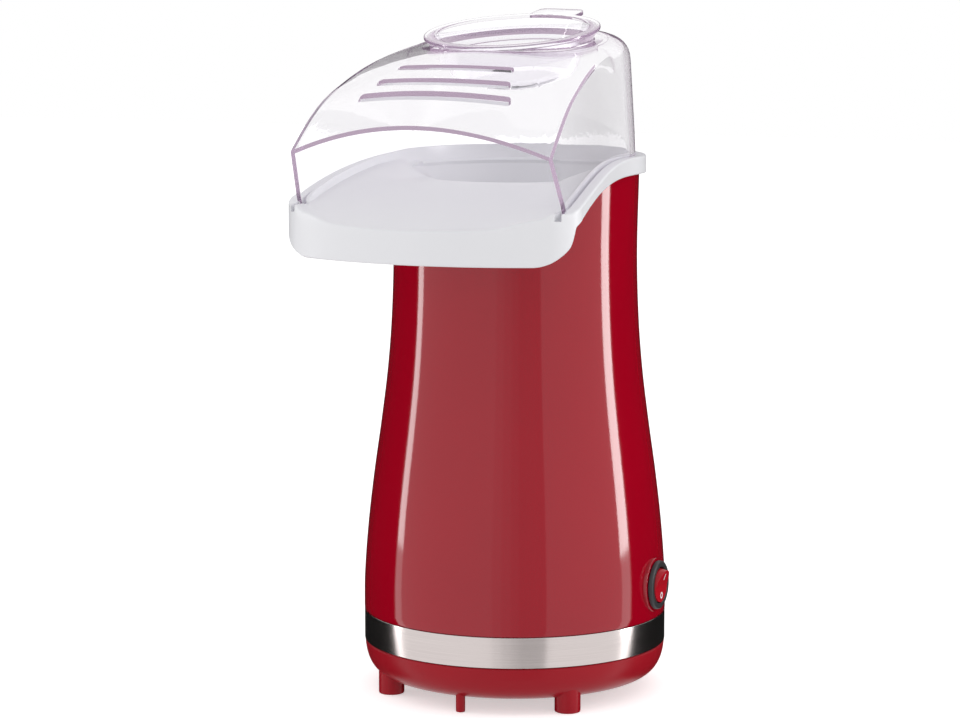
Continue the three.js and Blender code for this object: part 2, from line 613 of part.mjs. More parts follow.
function popcornChute() {
  const outer = planBlock(COLLAR_RADIUS, CHUTE_HALF_WIDTH);
  const underside = (y) => Math.max(skirtLine(y), Math.max(floorLine(y), CHUTE_FLOOR) - MOULD_WALL);
  const collar = common(
    outer,
    cut(above(underside), above(rimLine)),
  );
  const skirtSection = new THREE.Shape();
  skirtSection.moveTo(-CHUTE_HALF_WIDTH - 1, RIM_HIGH + 10);
  skirtSection.lineTo(-CHUTE_HALF_WIDTH - 1, SKIRT_LOW + SKIRT_CORNER);
  skirtSection.absarc(
    -CHUTE_HALF_WIDTH + SKIRT_CORNER, SKIRT_LOW + SKIRT_CORNER, SKIRT_CORNER, Math.PI, 1.5 * Math.PI,
  );
  skirtSection.absarc(
    CHUTE_HALF_WIDTH - SKIRT_CORNER, SKIRT_LOW + SKIRT_CORNER, SKIRT_CORNER, 1.5 * Math.PI, 2 * Math.PI,
  );
  skirtSection.lineTo(CHUTE_HALF_WIDTH + 1, SKIRT_LOW + SKIRT_CORNER);
  skirtSection.lineTo(CHUTE_HALF_WIDTH + 1, RIM_HIGH + 10);
  const skirt = common(
    cut(outer, planBlock(COLLAR_RADIUS - MOULD_WALL, CHUTE_HALF_WIDTH - MOULD_WALL, CHUTE_REACH - MOULD_WALL)),
    cut(above(skirtLine), above(rimLine)),
    prism(skirtSection, -CHUTE_REACH, CHUTE_REACH + 5, ALONG_MINUS_Y),
  );
  const troughShell = common(outer, cut(trough(MOULD_WALL), above(rimLine)));
  const groove = common(
    cut(
      planBlock(HOOD_BACK_RADIUS + SEAT_GAP, HOOD_FRONT_HALF + SEAT_GAP, BEYOND_FRONT),
      planBlock(
        HOOD_BACK_RADIUS - HOOD_WALL - SEAT_GAP,
        HOOD_FRONT_HALF - HOOD_WALL - SEAT_GAP,
        BEYOND_FRONT + CHUTE_CORNER,
      ),
    ),
    above((y) => rimLine(y) - GROOVE_DEPTH),
  );
  const inner = planBlock(INNER_BACK_RADIUS, INNER_HALF_WIDTH, BEYOND_FRONT);
  const upstand = common(
    planBlock(
      HOOD_BACK_RADIUS - HOOD_WALL - SEAT_GAP,
      HOOD_FRONT_HALF - HOOD_WALL - SEAT_GAP,
      BEYOND_FRONT,
    ),
    outer,
    cut(above((y) => rimLine(y) - GROOVE_DEPTH), above((y) => rimLine(y) + UPSTAND_RISE)),
  );
  const ledge = common(inner, above((y) => Math.max(skirtLine(y) + MOULD_WALL, CHUTE_FLOOR + TROUGH_FILLET)));
  const whole = cut(join(collar, skirt, troughShell, funnel(false)), groove);
  return cut(join(whole, upstand), ledge, trough(0), funnel(true));
}

// ---------------------------------------------------------------- clear hood

/** Drafted walls that turn over into the roof, drawn in by an inset. */
function hoodWalls(inset) {
  const level = (back, half, height) => (
    planPoints(back - inset, half - inset, BEYOND_FRONT)
      .map(([x, y]) => new THREE.Vector3(x, y, height(y)))
  );
  const turnOver = spread(0, Math.PI / 2, 3).map((angle) => {
    const drawnIn = HOOD_SHOULDER_ROUND * (1 - Math.cos(angle));
    return level(
      HOOD_TOP_BACK_RADIUS - drawnIn,
      HOOD_TOP_HALF - drawnIn,
      () => HOOD_SHOULDER + HOOD_SHOULDER_ROUND * Math.sin(angle) + 2,
    );
  });
  return loft([
    level(HOOD_BACK_RADIUS, HOOD_FRONT_HALF, () => SKIRT_LOW),
    level(HOOD_BACK_RADIUS, HOOD_FRONT_HALF, (y) => rimLine(y) + UPSTAND_RISE + 1),
    ...turnOver,
    level(
      HOOD_TOP_BACK_RADIUS - 1.5 * HOOD_SHOULDER_ROUND,
      HOOD_TOP_HALF - 1.5 * HOOD_SHOULDER_ROUND,
      () => HOOD_SHOULDER + 2 * HOOD_SHOULDER_ROUND,
    ),
  ], seenFromAbove);
}

/** Everything under the crowned roof, lowered by the wall. */
function underRoof(lowered) {
  const ridge = through(HOOD_RIDGE);
  const eaves = through(HOOD_EAVES);
  const reach = CHUTE_REACH + 6;
  const columns = spread(-1, 1, 8);
  const rings = spread(-reach, COLLAR_RADIUS, 12).map((y) => {
    const slope = (ridge(y + 1) - ridge(y - 1)) / 2;
    const drop = lowered * Math.hypot(1, slope);
    const arch = columns.map((t) => new THREE.Vector3(
      t * HOOD_CROWN_HALF * 1.15,
      y,
      ridge(y) - (ridge(y) - eaves(y)) * (t * 1.15) ** 2 - drop,
    ));
    const [left, right] = [-HOOD_CROWN_HALF * 1.15, HOOD_CROWN_HALF * 1.15];
    return [...arch, new THREE.Vector3(right, y, SKIRT_LOW - 5), new THREE.Vector3(left, y, SKIRT_LOW - 5)];
  });
  return loft(rings, seenFromFront);
}

/** Everything in front of the leaning plane of the hood's mouth. */
function mouthCut() {
  const [[lowY, lowZ], [highY, highZ]] = [MOUTH_LOW, MOUTH_HIGH];
  const lean = (highY - lowY) / (highZ - lowZ);
  const planeY = (z) => lowY + (z - lowZ) * lean;
  const [bottom, top, far] = [BAND_TOP, OVERHEAD, -2 * CHUTE_REACH];
  return prism(
    outline([[far, bottom], [planeY(bottom), bottom], [planeY(top), top], [far, top]]),
    -2 * BODY_RADIUS,
    2 * BODY_RADIUS,
    ALONG_X,
  );
}

/** Round-ended slot that bows forwards like the front of the hood. */
function ventSlot([y, length]) {
  const [half, radius] = [length / 2 - VENT_WIDTH / 2, VENT_WIDTH / 2];
  const bowRadius = (half ** 2 + VENT_BOW ** 2) / (2 * VENT_BOW);
  const reach = Math.asin(half / bowRadius);
  const arc = (from, to, size, steps) => spread(from, to, steps).map((angle) => polar(size, angle));
  const front = arc(-reach, reach, bowRadius + radius, 6);
  const back = arc(reach, -reach, bowRadius - radius, 6);
  const cap = (end, start) => (
    arc(start, start + Math.PI, radius, 3).slice(1, -1).map(([a, b]) => {
      const [middleX, middleY] = polar(bowRadius, end);
      return [middleX + a, middleY + b];
    })
  );
  const edge = [...front, ...cap(reach, reach), ...back, ...cap(-reach, Math.PI - reach)];
  const centre = y - VENT_BOW + bowRadius;
  const shape = outline(edge.map(([a, b]) => [b, centre - a]).reverse());
  return prism(shape, RIM_HIGH, OVERHEAD);
}

const cupFrame = move(...CUP_PLACE).multiply(new THREE.Matrix4().makeRotationX(CUP_TILT));
const cupTaper = (CUP_TOP_RADIUS - CUP_BOTTOM_RADIUS) / (CUP_DEPTH - CUP_RIM_THICKNESS);
/** Radius of the cup's outside at a depth under its rim. */
const cupRadius = (depth) => CUP_TOP_RADIUS - cupTaper * (depth - CUP_RIM_THICKNESS);

/** Conical ring around the hood's opening that the cup's wall rests in. */
function seatRing(grown, from, to) {
  return revolve([
    [0, -to],
    [cupRadius(to) + grown, -to],
    [cupRadius(from) + grown, -from],
    [0, -from],
  ], ROUND, cupFrame);
}

function clearHood() {
  const top = CUP_RIM_THICKNESS + SEAT_GAP;
  const bottom = top + SEAT_RING_DEPTH;
  const groundLine = (y) => rimLine(y) - GROOVE_DEPTH + SEAT_GAP;
  const skin = cut(common(hoodWalls(0), underRoof(0)), common(hoodWalls(HOOD_WALL), underRoof(HOOD_WALL)));
  const ring = seatRing(SEAT_GAP + SEAT_RING_WALL, top, bottom);
  const hole = seatRing(SEAT_GAP, 0, bottom + 1);
  const rimRoom = revolve([
    [0, -top],
    [CUP_RIM_RADIUS + 2 * SEAT_GAP, -top],
    [CUP_RIM_RADIUS + 2 * SEAT_GAP, 12],
    [0, 12],
  ], ROUND, cupFrame);
  const hood = common(cut(join(skin, ring), hole, rimRoom, mouthCut()), above(groundLine));
  return cut(hood, ...VENTS.map(ventSlot));
}

// ---------------------------------------------------------------- measuring cup

/** Cup about its own axis, rim plane at height 0. */
function measuringCup() {
  const corner = (radius, depth, round) => (
    new THREE.QuadraticBezierCurve(
      new THREE.Vector2(radius + cupTaper * round, round - depth),
      new THREE.Vector2(radius, -depth),
      new THREE.Vector2(radius - round, -depth),
    ).getPoints(4).map((p) => [p.x, p.y])
  );
  const inner = CUP_BOTTOM_RADIUS - CUP_WALL;
  const bowl = revolve([
    ...corner(CUP_BOTTOM_RADIUS, CUP_DEPTH, CUP_ROUND).reverse(),
    [CUP_TOP_RADIUS, -CUP_RIM_THICKNESS],
    [CUP_RIM_RADIUS, -CUP_RIM_THICKNESS],
    [CUP_RIM_RADIUS, -0.5],
    [CUP_RIM_RADIUS - 0.5, 0],
    [CUP_TOP_RADIUS - CUP_WALL + 0.5, 0],
    ...corner(inner, CUP_DEPTH - CUP_WALL, CUP_ROUND - CUP_WALL),
    [0, CUP_WALL - CUP_DEPTH],
    [0, -CUP_DEPTH],
  ]);
  const rise = CUP_TAB_RISE / CUP_TAB_LENGTH;
  const [root, tip] = [CUP_RIM_RADIUS - 1.6, CUP_RIM_RADIUS + CUP_TAB_LENGTH - 1.6];
  const lift = (y) => (y - root) * rise;
  const tab = prism(
    outline([
      [root, -CUP_RIM_THICKNESS],
      [tip, lift(tip) - CUP_RIM_THICKNESS],
      [tip, lift(tip)],
      [root, 0],
    ]),
    -CUP_TAB_WIDTH / 2,
    CUP_TAB_WIDTH / 2,
    ALONG_X,
  );
  return join(bowl, tab);
}

// ---------------------------------------------------------------- switch and cord bushing

/** Housing about the switch axis, face outwards at the pad. */
function switchHousing() {
  const face = SWITCH_PAD_REACH + SEAT_GAP;
  const front = face + SWITCH_BEZEL_THICKNESS;
  const body = revolve([
    [0, face - SWITCH_BARREL_LENGTH],
    [SWITCH_BARREL_RADIUS, face - SWITCH_BARREL_LENGTH],
    [SWITCH_BARREL_RADIUS, face],
    [SWITCH_BEZEL_RADIUS, face],
    [SWITCH_BEZEL_RADIUS, front - 1],
    [SWITCH_BEZEL_RADIUS - 1, front],
    [0, front],
  ], MIDDLE_ROUND);
  const well = rod(ROCKER_RADIUS + 2 * SEAT_GAP, front - 11, front + 1, undefined, MIDDLE_ROUND);
  return cut(body, well);
}

/** Rocker about its pivot: a round button whose face is a shallow V. */
function switchRocker() {
  const [centre, half] = [1.9, ROCKER_RADIUS];
  const edge = centre + half * Math.tan(ROCKER_TILT);
  const section = outline([[-half, edge], [-half * 0.8, -2.4], [half * 0.8, -2.4], [half, edge], [0, centre]]);
  const body = prism(section, -half, half, ALONG_MINUS_Y);
  return common(body, rod(half, -3, edge + 1, undefined, MIDDLE_ROUND));
}

function terminalBlade() {
  return block(TERMINAL_SIZE, [0, 0, 0]);
}

function cordBushing() {
  const wall = bodyRadius(BUSHING_HEIGHT);
  const [outside, inside] = [wall + 2 * SEAT_GAP, wall - MOULD_WALL - 5 * SEAT_GAP];
  return revolve([
    [BUSHING_BORE_RADIUS, inside - 2.4],
    [BUSHING_FLANGE_RADIUS - 0.8, inside - 2.4],
    [BUSHING_FLANGE_RADIUS - 0.8, inside],
    [BUSHING_HOLE_RADIUS, inside],
    [BUSHING_HOLE_RADIUS, outside],
    [BUSHING_FLANGE_RADIUS, outside],
    [BUSHING_FLANGE_RADIUS - 0.6, outside + 2],
    [BUSHING_BORE_RADIUS, outside + 2],
  ], MIDDLE_ROUND);
}

// ---------------------------------------------------------------- chamber, duct and heater

function poppingChamber() {
  const [outer, inner] = [CHAMBER_RADIUS, CHAMBER_RADIUS - CHAMBER_SHEET];
  const low = CHAMBER_BOTTOM;
  const pot = revolve([
    [0, low + CHAMBER_DOME],
    [outer * 0.5, low + CHAMBER_DOME * 0.55],
    [outer * 0.8, low],
    [outer - 3, low],
    [outer, low + 3],
    [outer, CHAMBER_TOP - CHAMBER_SHEET],
    [CHAMBER_FLANGE_RADIUS, CHAMBER_TOP - CHAMBER_SHEET],
    [CHAMBER_FLANGE_RADIUS, CHAMBER_TOP],
    [inner, CHAMBER_TOP],
    [inner, low + 3 + CHAMBER_SHEET],
    [inner - 3 + CHAMBER_SHEET, low + CHAMBER_SHEET],
    [outer * 0.8, low + CHAMBER_SHEET],
    [outer * 0.5, low + CHAMBER_DOME * 0.55 + CHAMBER_SHEET],
    [0, low + CHAMBER_DOME + CHAMBER_SHEET],
  ]);
  const louvres = spread(0, LOUVRES - 1, LOUVRES - 1).map((i) => block(
    [10, LOUVRE_WIDTH, LOUVRE_HEIGHT],
    [0, 0, 0],
    turn((i * 2 * Math.PI) / LOUVRES)
      .multiply(move(CHAMBER_RADIUS, 0, low + 8 + LOUVRE_HEIGHT / 2))
      .multiply(new THREE.Matrix4().makeRotationX(LOUVRE_SLANT)),
  ));
  return cut(pot, ...louvres);
}

function heaterDuct() {
  const outer = DUCT_RADIUS + DUCT_WALL;
  const top = CHAMBER_TOP - CHAMBER_SHEET - SEAT_GAP;
  const tube = revolve([
    [DUCT_INLET_RADIUS, DUCT_FLOOR],
    [outer, DUCT_FLOOR],
    [outer, top],
    [DUCT_RADIUS, top],
    [DUCT_RADIUS, DUCT_FLOOR + DUCT_WALL],
    [DUCT_INLET_RADIUS, DUCT_FLOOR + DUCT_WALL],
  ]);
  const ears = earAngles.map((angle) => join(
    rod(BOSS_RADIUS + 1, DUCT_FLOOR, DUCT_FLOOR + 2.4, turn(angle).multiply(move(DUCT_EAR_CIRCLE, 0, 0))),
    block([8, 9, 2.4], [outer + 1, 0, DUCT_FLOOR + 1.2], turn(angle)),
  ));
  const holes = earPlaces.map(([x, y]) => (
    rod(SCREW_RADIUS + SEAT_GAP, DUCT_FLOOR - 1, DUCT_FLOOR + 4, move(x, y, 0))
  ));
  const mountHoles = bracketPlaces.map(([x, y]) => (
    rod(SCREW_RADIUS + SEAT_GAP, DUCT_FLOOR - 1, DUCT_FLOOR + 4, move(x, y, 0))
  ));
  return cut(join(tube, ...ears), ...holes, ...mountHoles);
}

/** Soft ring between the chamber's flange and the chute. */
function chamberSeal() {
  const inner = CHAMBER_RADIUS + 0.5;
  const outer = bodyRadius(SEAL_BOTTOM) - MOULD_WALL - SEAT_GAP;
  return revolve([
    [inner, SEAL_BOTTOM],
    [outer, SEAL_BOTTOM],
    [outer, SEAL_BOTTOM + SEAL_HEIGHT],
    [inner, SEAL_BOTTOM + SEAL_HEIGHT],
  ]);
}

/** One of two crossing mica plates, slotted half way so that they interlock. */
function micaPlate(angle, slotLow) {
  const facing = turn(angle);
  const plate = block(
    [2 * MICA_HALF, MICA_SHEET, MICA_HEIGHT],
    [0, 0, HEATER_BOTTOM + MICA_HEIGHT / 2],
    facing,
  );
  const half = MICA_HEIGHT / 2 + 0.2;
  const middle = HEATER_BOTTOM + (slotLow ? half / 2 - 0.2 : MICA_HEIGHT - half / 2 + 0.2);
  const slot = block([MICA_SHEET + SEAT_GAP * 2, 4, half], [0, 0, middle], facing);
  const ring = coilTube(COIL_WIRE + SEAT_GAP);
  return cut(plate, slot, ring);
}

/** Wire of the heating coil, waving up and down round the heater's axis. */
function coilTube(radius) {
  const middle = HEATER_BOTTOM + MICA_HEIGHT / 2;
  const points = spread(degrees(8), degrees(352), COIL_STEPS).map((angle) => {
    const [x, y] = polar(COIL_RADIUS, angle);
    return new THREE.Vector3(x, y, middle + COIL_SWING * Math.sin(COIL_WAVES * angle));
  });
  const section = new THREE.Shape(spread(0, 3, 3).map((i) => (
    new THREE.Vector2(...polar(radius, (i * Math.PI) / 2))
  )));
  const path = new THREE.CatmullRomCurve3(points);
  return toSolid(new THREE.ExtrudeGeometry(section, { steps: COIL_STEPS, extrudePath: path }));
}

// ---------------------------------------------------------------- motor and fan

const MOTOR_TOP = DUCT_FLOOR - BRACKET_THICKNESS - 2 * SEAT_GAP;
const MOTOR_BOTTOM = MOTOR_TOP - MOTOR_LENGTH;
const FAN_BOTTOM = DUCT_FLOOR + DUCT_WALL + RUN_GAP;
const BRACKET_TOP = DUCT_FLOOR - SEAT_GAP;
const BRACKET_CIRCLE = DUCT_INLET_RADIUS + 5;
const bracketAngles = earAngles.map((angle) => angle + Math.PI / DUCT_EARS);
const bracketPlaces = bracketAngles.map((angle) => polar(BRACKET_CIRCLE, angle));
const MOTOR_SCREW_OFFSET = 8;

function motorBracket() {
  const low = BRACKET_TOP - BRACKET_THICKNESS;
  const middle = low + BRACKET_THICKNESS / 2;
  const arms = bracketAngles.map((angle) => join(
    block([BRACKET_CIRCLE, 8, BRACKET_THICKNESS], [BRACKET_CIRCLE / 2, 0, middle], turn(angle)),
    rod(4, low, BRACKET_TOP, turn(angle).multiply(move(BRACKET_CIRCLE, 0, 0))),
  ));
  const holes = [
    rod(4.5, low - 1, BRACKET_TOP + 1),
    ...bracketPlaces.map(([x, y]) => rod(SCREW_RADIUS + SEAT_GAP, low - 1, BRACKET_TOP + 1, move(x, y, 0))),
    ...[-1, 1].map((side) => (
      rod(SCREW_RADIUS + SEAT_GAP, low - 1, BRACKET_TOP + 1, move(side * MOTOR_SCREW_OFFSET, 0, 0))
    )),
  ];
  return cut(join(rod(MOTOR_RADIUS, low, BRACKET_TOP, undefined, MIDDLE_ROUND), ...arms), ...holes);
}

function motorCan() {
  const can = revolve([
    [0, MOTOR_BOTTOM],
    [MOTOR_RADIUS - 1.5, MOTOR_BOTTOM],
    [MOTOR_RADIUS - 1.5, MOTOR_BOTTOM + 1.5],
    [MOTOR_RADIUS, MOTOR_BOTTOM + 1.5],
    [MOTOR_RADIUS, MOTOR_TOP - 1],
    [MOTOR_RADIUS - 1, MOTOR_TOP],
    [4, MOTOR_TOP],
    [4, MOTOR_TOP + 2],
    [0, MOTOR_TOP + 2],
  ], MIDDLE_ROUND);
  const bore = rod(SHAFT_RADIUS + SEAT_GAP, MOTOR_TOP - 12, MOTOR_TOP + 3);
  const threads = [-1, 1].map((side) => (
    rod(SCREW_RADIUS + SEAT_GAP, MOTOR_TOP - 5, MOTOR_TOP + 1, move(side * MOTOR_SCREW_OFFSET, 0, 0))
  ));
  return cut(can, bore, ...threads);
}

function motorEndCap() {
  return revolve([
    [0, MOTOR_BOTTOM - SEAT_GAP - MOTOR_CAP],
    [MOTOR_RADIUS - 3, MOTOR_BOTTOM - SEAT_GAP - MOTOR_CAP],
    [MOTOR_RADIUS - 1.8, MOTOR_BOTTOM - SEAT_GAP],
    [0, MOTOR_BOTTOM - SEAT_GAP],
  ], MIDDLE_ROUND);
}

function motorShaft() {
  return rod(SHAFT_RADIUS, MOTOR_TOP - 11, FAN_BOTTOM + FAN_HEIGHT + 1.5);
}

/** Axial fan: twisted blades, steeper at the hub than at the tip. */
function fanImpeller() {
  const middle = FAN_BOTTOM + FAN_HEIGHT / 2;
  const chord = FAN_HEIGHT / Math.sin(degrees(52));
  const blade = (turnAngle) => {
    const rings = spread(FAN_HUB_RADIUS - 2, FAN_RADIUS, 3).map((radius, i) => {
      const pitch = degrees(48 - 7.5 * i);
      const [along, across] = [Math.cos(pitch), Math.sin(pitch)];
      const half = (chord / 2) * (0.78 + 0.07 * i);
      const thick = FAN_BLADE_THICKNESS / 2;
      const corners = [[-half, -thick * 0.6], [0, -thick], [half, -thick * 0.6], [half, thick * 0.6], [0, thick], [-half, thick * 0.6]];
      return corners.map(([u, v]) => (
        new THREE.Vector3(radius, u * along - v * across, middle + u * across + v * along)
          .applyAxisAngle(Z_AXIS, turnAngle)
      ));
    });
    const flatten = (p) => {
      const flat = p.clone().applyAxisAngle(Z_AXIS, -turnAngle);
      return new THREE.Vector2(flat.y, flat.z);
    };
    return loft(rings, flatten);
  };
  const blades = spread(0, FAN_BLADES - 1, FAN_BLADES - 1).map((i) => blade((i * 2 * Math.PI) / FAN_BLADES));
  const hub = revolve([
    [0, FAN_BOTTOM],
    [FAN_HUB_RADIUS, FAN_BOTTOM],
    [FAN_HUB_RADIUS, FAN_BOTTOM + FAN_HEIGHT - 2],
    [FAN_HUB_RADIUS - 2, FAN_BOTTOM + FAN_HEIGHT],
    [0, FAN_BOTTOM + FAN_HEIGHT],
  ], MIDDLE_ROUND);
  const room = rod(FAN_RADIUS, FAN_BOTTOM, FAN_BOTTOM + FAN_HEIGHT, undefined, ROUND);
  const bore = rod(SHAFT_RADIUS + SEAT_GAP, FAN_BOTTOM - 1, FAN_BOTTOM + FAN_HEIGHT + 1);
  return cut(join(hub, common(join(...blades), room)), bore);
}

// ---------------------------------------------------------------- electrical bits and screws

const BOARD_TOP = MOTOR_BOTTOM - MOTOR_CAP - 2 * SEAT_GAP;

function rectifierBoard() {
  return rod(BOARD_RADIUS, BOARD_TOP - BOARD_THICKNESS, BOARD_TOP, undefined, MIDDLE_ROUND);
}

function diode() {
  return revolve([
    [0, -DIODE_LENGTH / 2],
    [DIODE_RADIUS - 0.3, -DIODE_LENGTH / 2],
    [DIODE_RADIUS, 0.3 - DIODE_LENGTH / 2],
    [DIODE_RADIUS, DIODE_LENGTH / 2 - 0.3],
    [DIODE_RADIUS - 0.3, DIODE_LENGTH / 2],
    [0, DIODE_LENGTH / 2],
  ], SMALL_ROUND);
}

function thermostat() {
  const cap = revolve([[0, 0], [8, 0], [8, 3.5], [6.5, 3.5], [6.5, 6.5], [0, 6.5]], MIDDLE_ROUND);
  return join(cap, block([24, 6, 1], [0, 0, 0.5]), block([1, 5, 4], [3, 0, 8]), block([1, 5, 4], [-3, 0, 8]));
}

function thermalFuse() {
  return revolve([[0, -6], [1.2, -6], [2, -5], [2, 5], [1.2, 6], [0, 6]], SMALL_ROUND);
}

/** Screw with its head's underside at height 0 and its shank downwards. */
function screw(length) {
  return revolve([
    [0, -length],
    [SCREW_RADIUS * 0.6, -length],
    [SCREW_RADIUS, SCREW_RADIUS - length],
    [SCREW_RADIUS, 0],
    [SCREW_HEAD_RADIUS, 0],
    [SCREW_HEAD_RADIUS, SCREW_HEAD_HEIGHT * 0.5],
    [SCREW_HEAD_RADIUS * 0.7, SCREW_HEAD_HEIGHT],
    [0, SCREW_HEAD_HEIGHT],
  ], 8);
}

// ---------------------------------------------------------------- assembly

addPiece('base_pan', basePan(), RED, 0.3);
addPiece('steel_band', steelBand(), STEEL, 0.3, 1);
addPiece('body_shell', bodyShell(), RED, 0.15);
addPiece('popcorn_chute', popcornChute(), WHITE, 0.35);
addPiece('clear_hood', clearHood(), CLEAR, 0.05);
addPiece('measuring_cup', measuringCup(), CLEAR, 0.05).applyMatrix4(cupFrame);

const housing = addPiece('switch_housing', switchHousing(), BLACK, 0.45);
housing.applyMatrix4(switchFrame);
const rockerPivot = SWITCH_PAD_REACH + SEAT_GAP + SWITCH_BEZEL_THICKNESS - 1.5;
const rocker = addPiece('switch_rocker', switchRocker(), 0xc4101c, 0.2);
rocker.applyMatrix4(
  move(rockerPivot, 0, SWITCH_HEIGHT)
    .multiply(new THREE.Matrix4().makeRotationY(ROCKER_TILT))
    .multiply(ALONG_PLUS_X),
);
const terminalMiddle = SWITCH_PAD_REACH - SWITCH_BARREL_LENGTH - TERMINAL_SIZE[0] / 2;
[-1, 0, 1].forEach((step, i) => {
  const blade = addPiece(`switch_terminal_${i + 1}`, terminalBlade(), BRASS, 0.35, 1);
  blade.position.set(terminalMiddle, 0, SWITCH_HEIGHT + step * TERMINAL_PITCH);
});
addPiece('cord_bushing', cordBushing(), BLACK, 0.6).applyMatrix4(bushingFrame);

addPiece('heater_duct', heaterDuct(), PHENOLIC, 0.7);
addPiece('popping_chamber', poppingChamber(), ALUMINIUM, 0.35, 1);
addPiece('chamber_seal', chamberSeal(), 0x8d8f94, 0.8);
addPiece('mica_plate_1', micaPlate(0, true), 0xb8a67c, 0.6);
addPiece('mica_plate_2', micaPlate(Math.PI / 2, false), 0xb8a67c, 0.6);
addPiece('heating_coil', coilTube(COIL_WIRE), 0x8a8378, 0.4, 1);

addPiece('motor_bracket', motorBracket(), STEEL, 0.4, 1);
addPiece('motor_can', motorCan(), STEEL, 0.35, 1);
addPiece('motor_end_cap', motorEndCap(), BLACK, 0.6);
addPiece('motor_shaft', motorShaft(), STEEL, 0.25, 1);
addPiece('fan_impeller', fanImpeller(), BLACK, 0.5);
addPiece('rectifier_board', rectifierBoard(), 0x8a6a34, 0.6);
[0, 1, 2, 3].forEach((i) => {
  const body = addPiece(`diode_${i + 1}`, diode(), BLACK, 0.5);
  body.position.set(4.5 * (i - 1.5), 0, BOARD_TOP - BOARD_THICKNESS - SEAT_GAP - DIODE_RADIUS);
  body.rotation.x = Math.PI / 2;
});

const thermostatFrame = turn(Math.PI)
  .multiply(move(DUCT_RADIUS + DUCT_WALL + SEAT_GAP, 0, HEATER_BOTTOM + MICA_HEIGHT / 2))
  .multiply(ALONG_PLUS_X);
addPiece('thermostat', thermostat(), ALUMINIUM, 0.4, 1).applyMatrix4(thermostatFrame);
const fuse = addPiece('thermal_fuse', thermalFuse(), 0xcfc8b8, 0.5);
fuse.applyMatrix4(
  turn(Math.PI * 1.2).multiply(move(DUCT_RADIUS + DUCT_WALL + 2 + SEAT_GAP, 0, HEATER_BOTTOM + MICA_HEIGHT / 2)),
);

footPlaces.forEach(([x, y], i) => {
  const fastener = addPiece(`base_screw_${i + 1}`, screw(SCREW_LENGTH), STEEL, 0.35, 1);
  fastener.position.set(x, y, SCREW_SEAT - SEAT_GAP);
  fastener.rotation.x = Math.PI;
});
earPlaces.forEach(([x, y], i) => {
  const fastener = addPiece(`duct_screw_${i + 1}`, screw(DUCT_SCREW_LENGTH), STEEL, 0.35, 1);
  fastener.position.set(x, y, DUCT_FLOOR + 2.4 + SEAT_GAP);
});
bracketPlaces.forEach(([x, y], i) => {
  const fastener = addPiece(`bracket_screw_${i + 1}`, screw(5), STEEL, 0.35, 1);
  fastener.position.set(x, y, BRACKET_TOP - BRACKET_THICKNESS - SEAT_GAP);
  fastener.rotation.x = Math.PI;
});
[-1, 1].forEach((side, i) => {
  const fastener = addPiece(`motor_screw_${i + 1}`, screw(6), STEEL, 0.35, 1);
  fastener.position.set(side * MOTOR_SCREW_OFFSET, 0, BRACKET_TOP + SEAT_GAP);
});

// The machine stands with the middle of its box over the origin.
const box = new THREE.Box3().setFromObject(model);
const middle = box.getCenter(new THREE.Vector3());
model.position.set(-middle.x, -middle.y, -box.min.z);
const popcornMaker = new THREE.Group();
popcornMaker.add(model);

export default popcornMaker;
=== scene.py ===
"""Hot-air popcorn maker: the visible mouldings, finishes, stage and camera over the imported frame."""
import json
import logging
import math
from collections.abc import Callable, Iterable, Sequence
from dataclasses import dataclass, field
from enum import Enum

import bmesh
import bpy
from mathutils import Euler, Matrix, Vector


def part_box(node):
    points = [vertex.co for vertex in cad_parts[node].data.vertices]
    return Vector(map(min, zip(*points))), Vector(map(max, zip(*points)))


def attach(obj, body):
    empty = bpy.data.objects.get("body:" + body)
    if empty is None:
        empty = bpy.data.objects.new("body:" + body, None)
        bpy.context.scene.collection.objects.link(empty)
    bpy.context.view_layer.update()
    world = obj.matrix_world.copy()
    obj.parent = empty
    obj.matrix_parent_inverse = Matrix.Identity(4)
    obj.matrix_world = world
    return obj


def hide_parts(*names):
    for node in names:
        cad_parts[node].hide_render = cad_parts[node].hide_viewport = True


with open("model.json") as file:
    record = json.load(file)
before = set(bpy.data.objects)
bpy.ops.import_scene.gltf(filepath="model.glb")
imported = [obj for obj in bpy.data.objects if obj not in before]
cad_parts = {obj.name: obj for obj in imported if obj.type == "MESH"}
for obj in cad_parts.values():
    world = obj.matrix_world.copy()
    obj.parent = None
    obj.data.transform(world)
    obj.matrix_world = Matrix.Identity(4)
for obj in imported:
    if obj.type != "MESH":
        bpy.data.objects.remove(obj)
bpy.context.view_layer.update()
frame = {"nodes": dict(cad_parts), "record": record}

LOG = logging.getLogger("popcorn_maker")
MM = 0.001
# Points this close, in metres, are one.
WELD = 2e-6
THINNEST = 1e-6
# How far a cutter runs past what it cuts, in millimetres.
PAST = 1.0

Point = tuple[float, float, float]
Flat = tuple[float, float]
Line = Callable[[float], float]
Grid = tuple[list[Point], list[list[int]]]


# ---------------------------------------------------------------- small mathematics


def clamp(value: float, low: float = 0.0, high: float = 1.0) -> float:
    """Value held between two limits."""
    return max(low, min(high, value))


def lerp(a: float, b: float, t: float) -> float:
    """Straight mix of a and b."""
    return a + (b - a) * t


def smooth(t: float) -> float:
    """Smooth step from 0 to 1."""
    t = clamp(t)
    return t * t * (3 - 2 * t)


def spread(start: float, end: float, steps: int) -> list[float]:
    """Evenly spaced values from one end to the other, steps + 1 of them."""
    return [lerp(start, end, i / steps) for i in range(steps + 1)]


def polar(radius: float, angle: float) -> Flat:
    """Flat place at a radius and an angle in radians."""
    return radius * math.cos(angle), radius * math.sin(angle)


def bent(start: Vector, handle: Vector, end: Vector, steps: int) -> list[Vector]:
    """Points along a curve that leaves start and reaches end by way of a handle."""
    return [start * (1 - t) ** 2 + handle * 2 * t * (1 - t) + end * t * t for t in spread(0, 1, steps)]


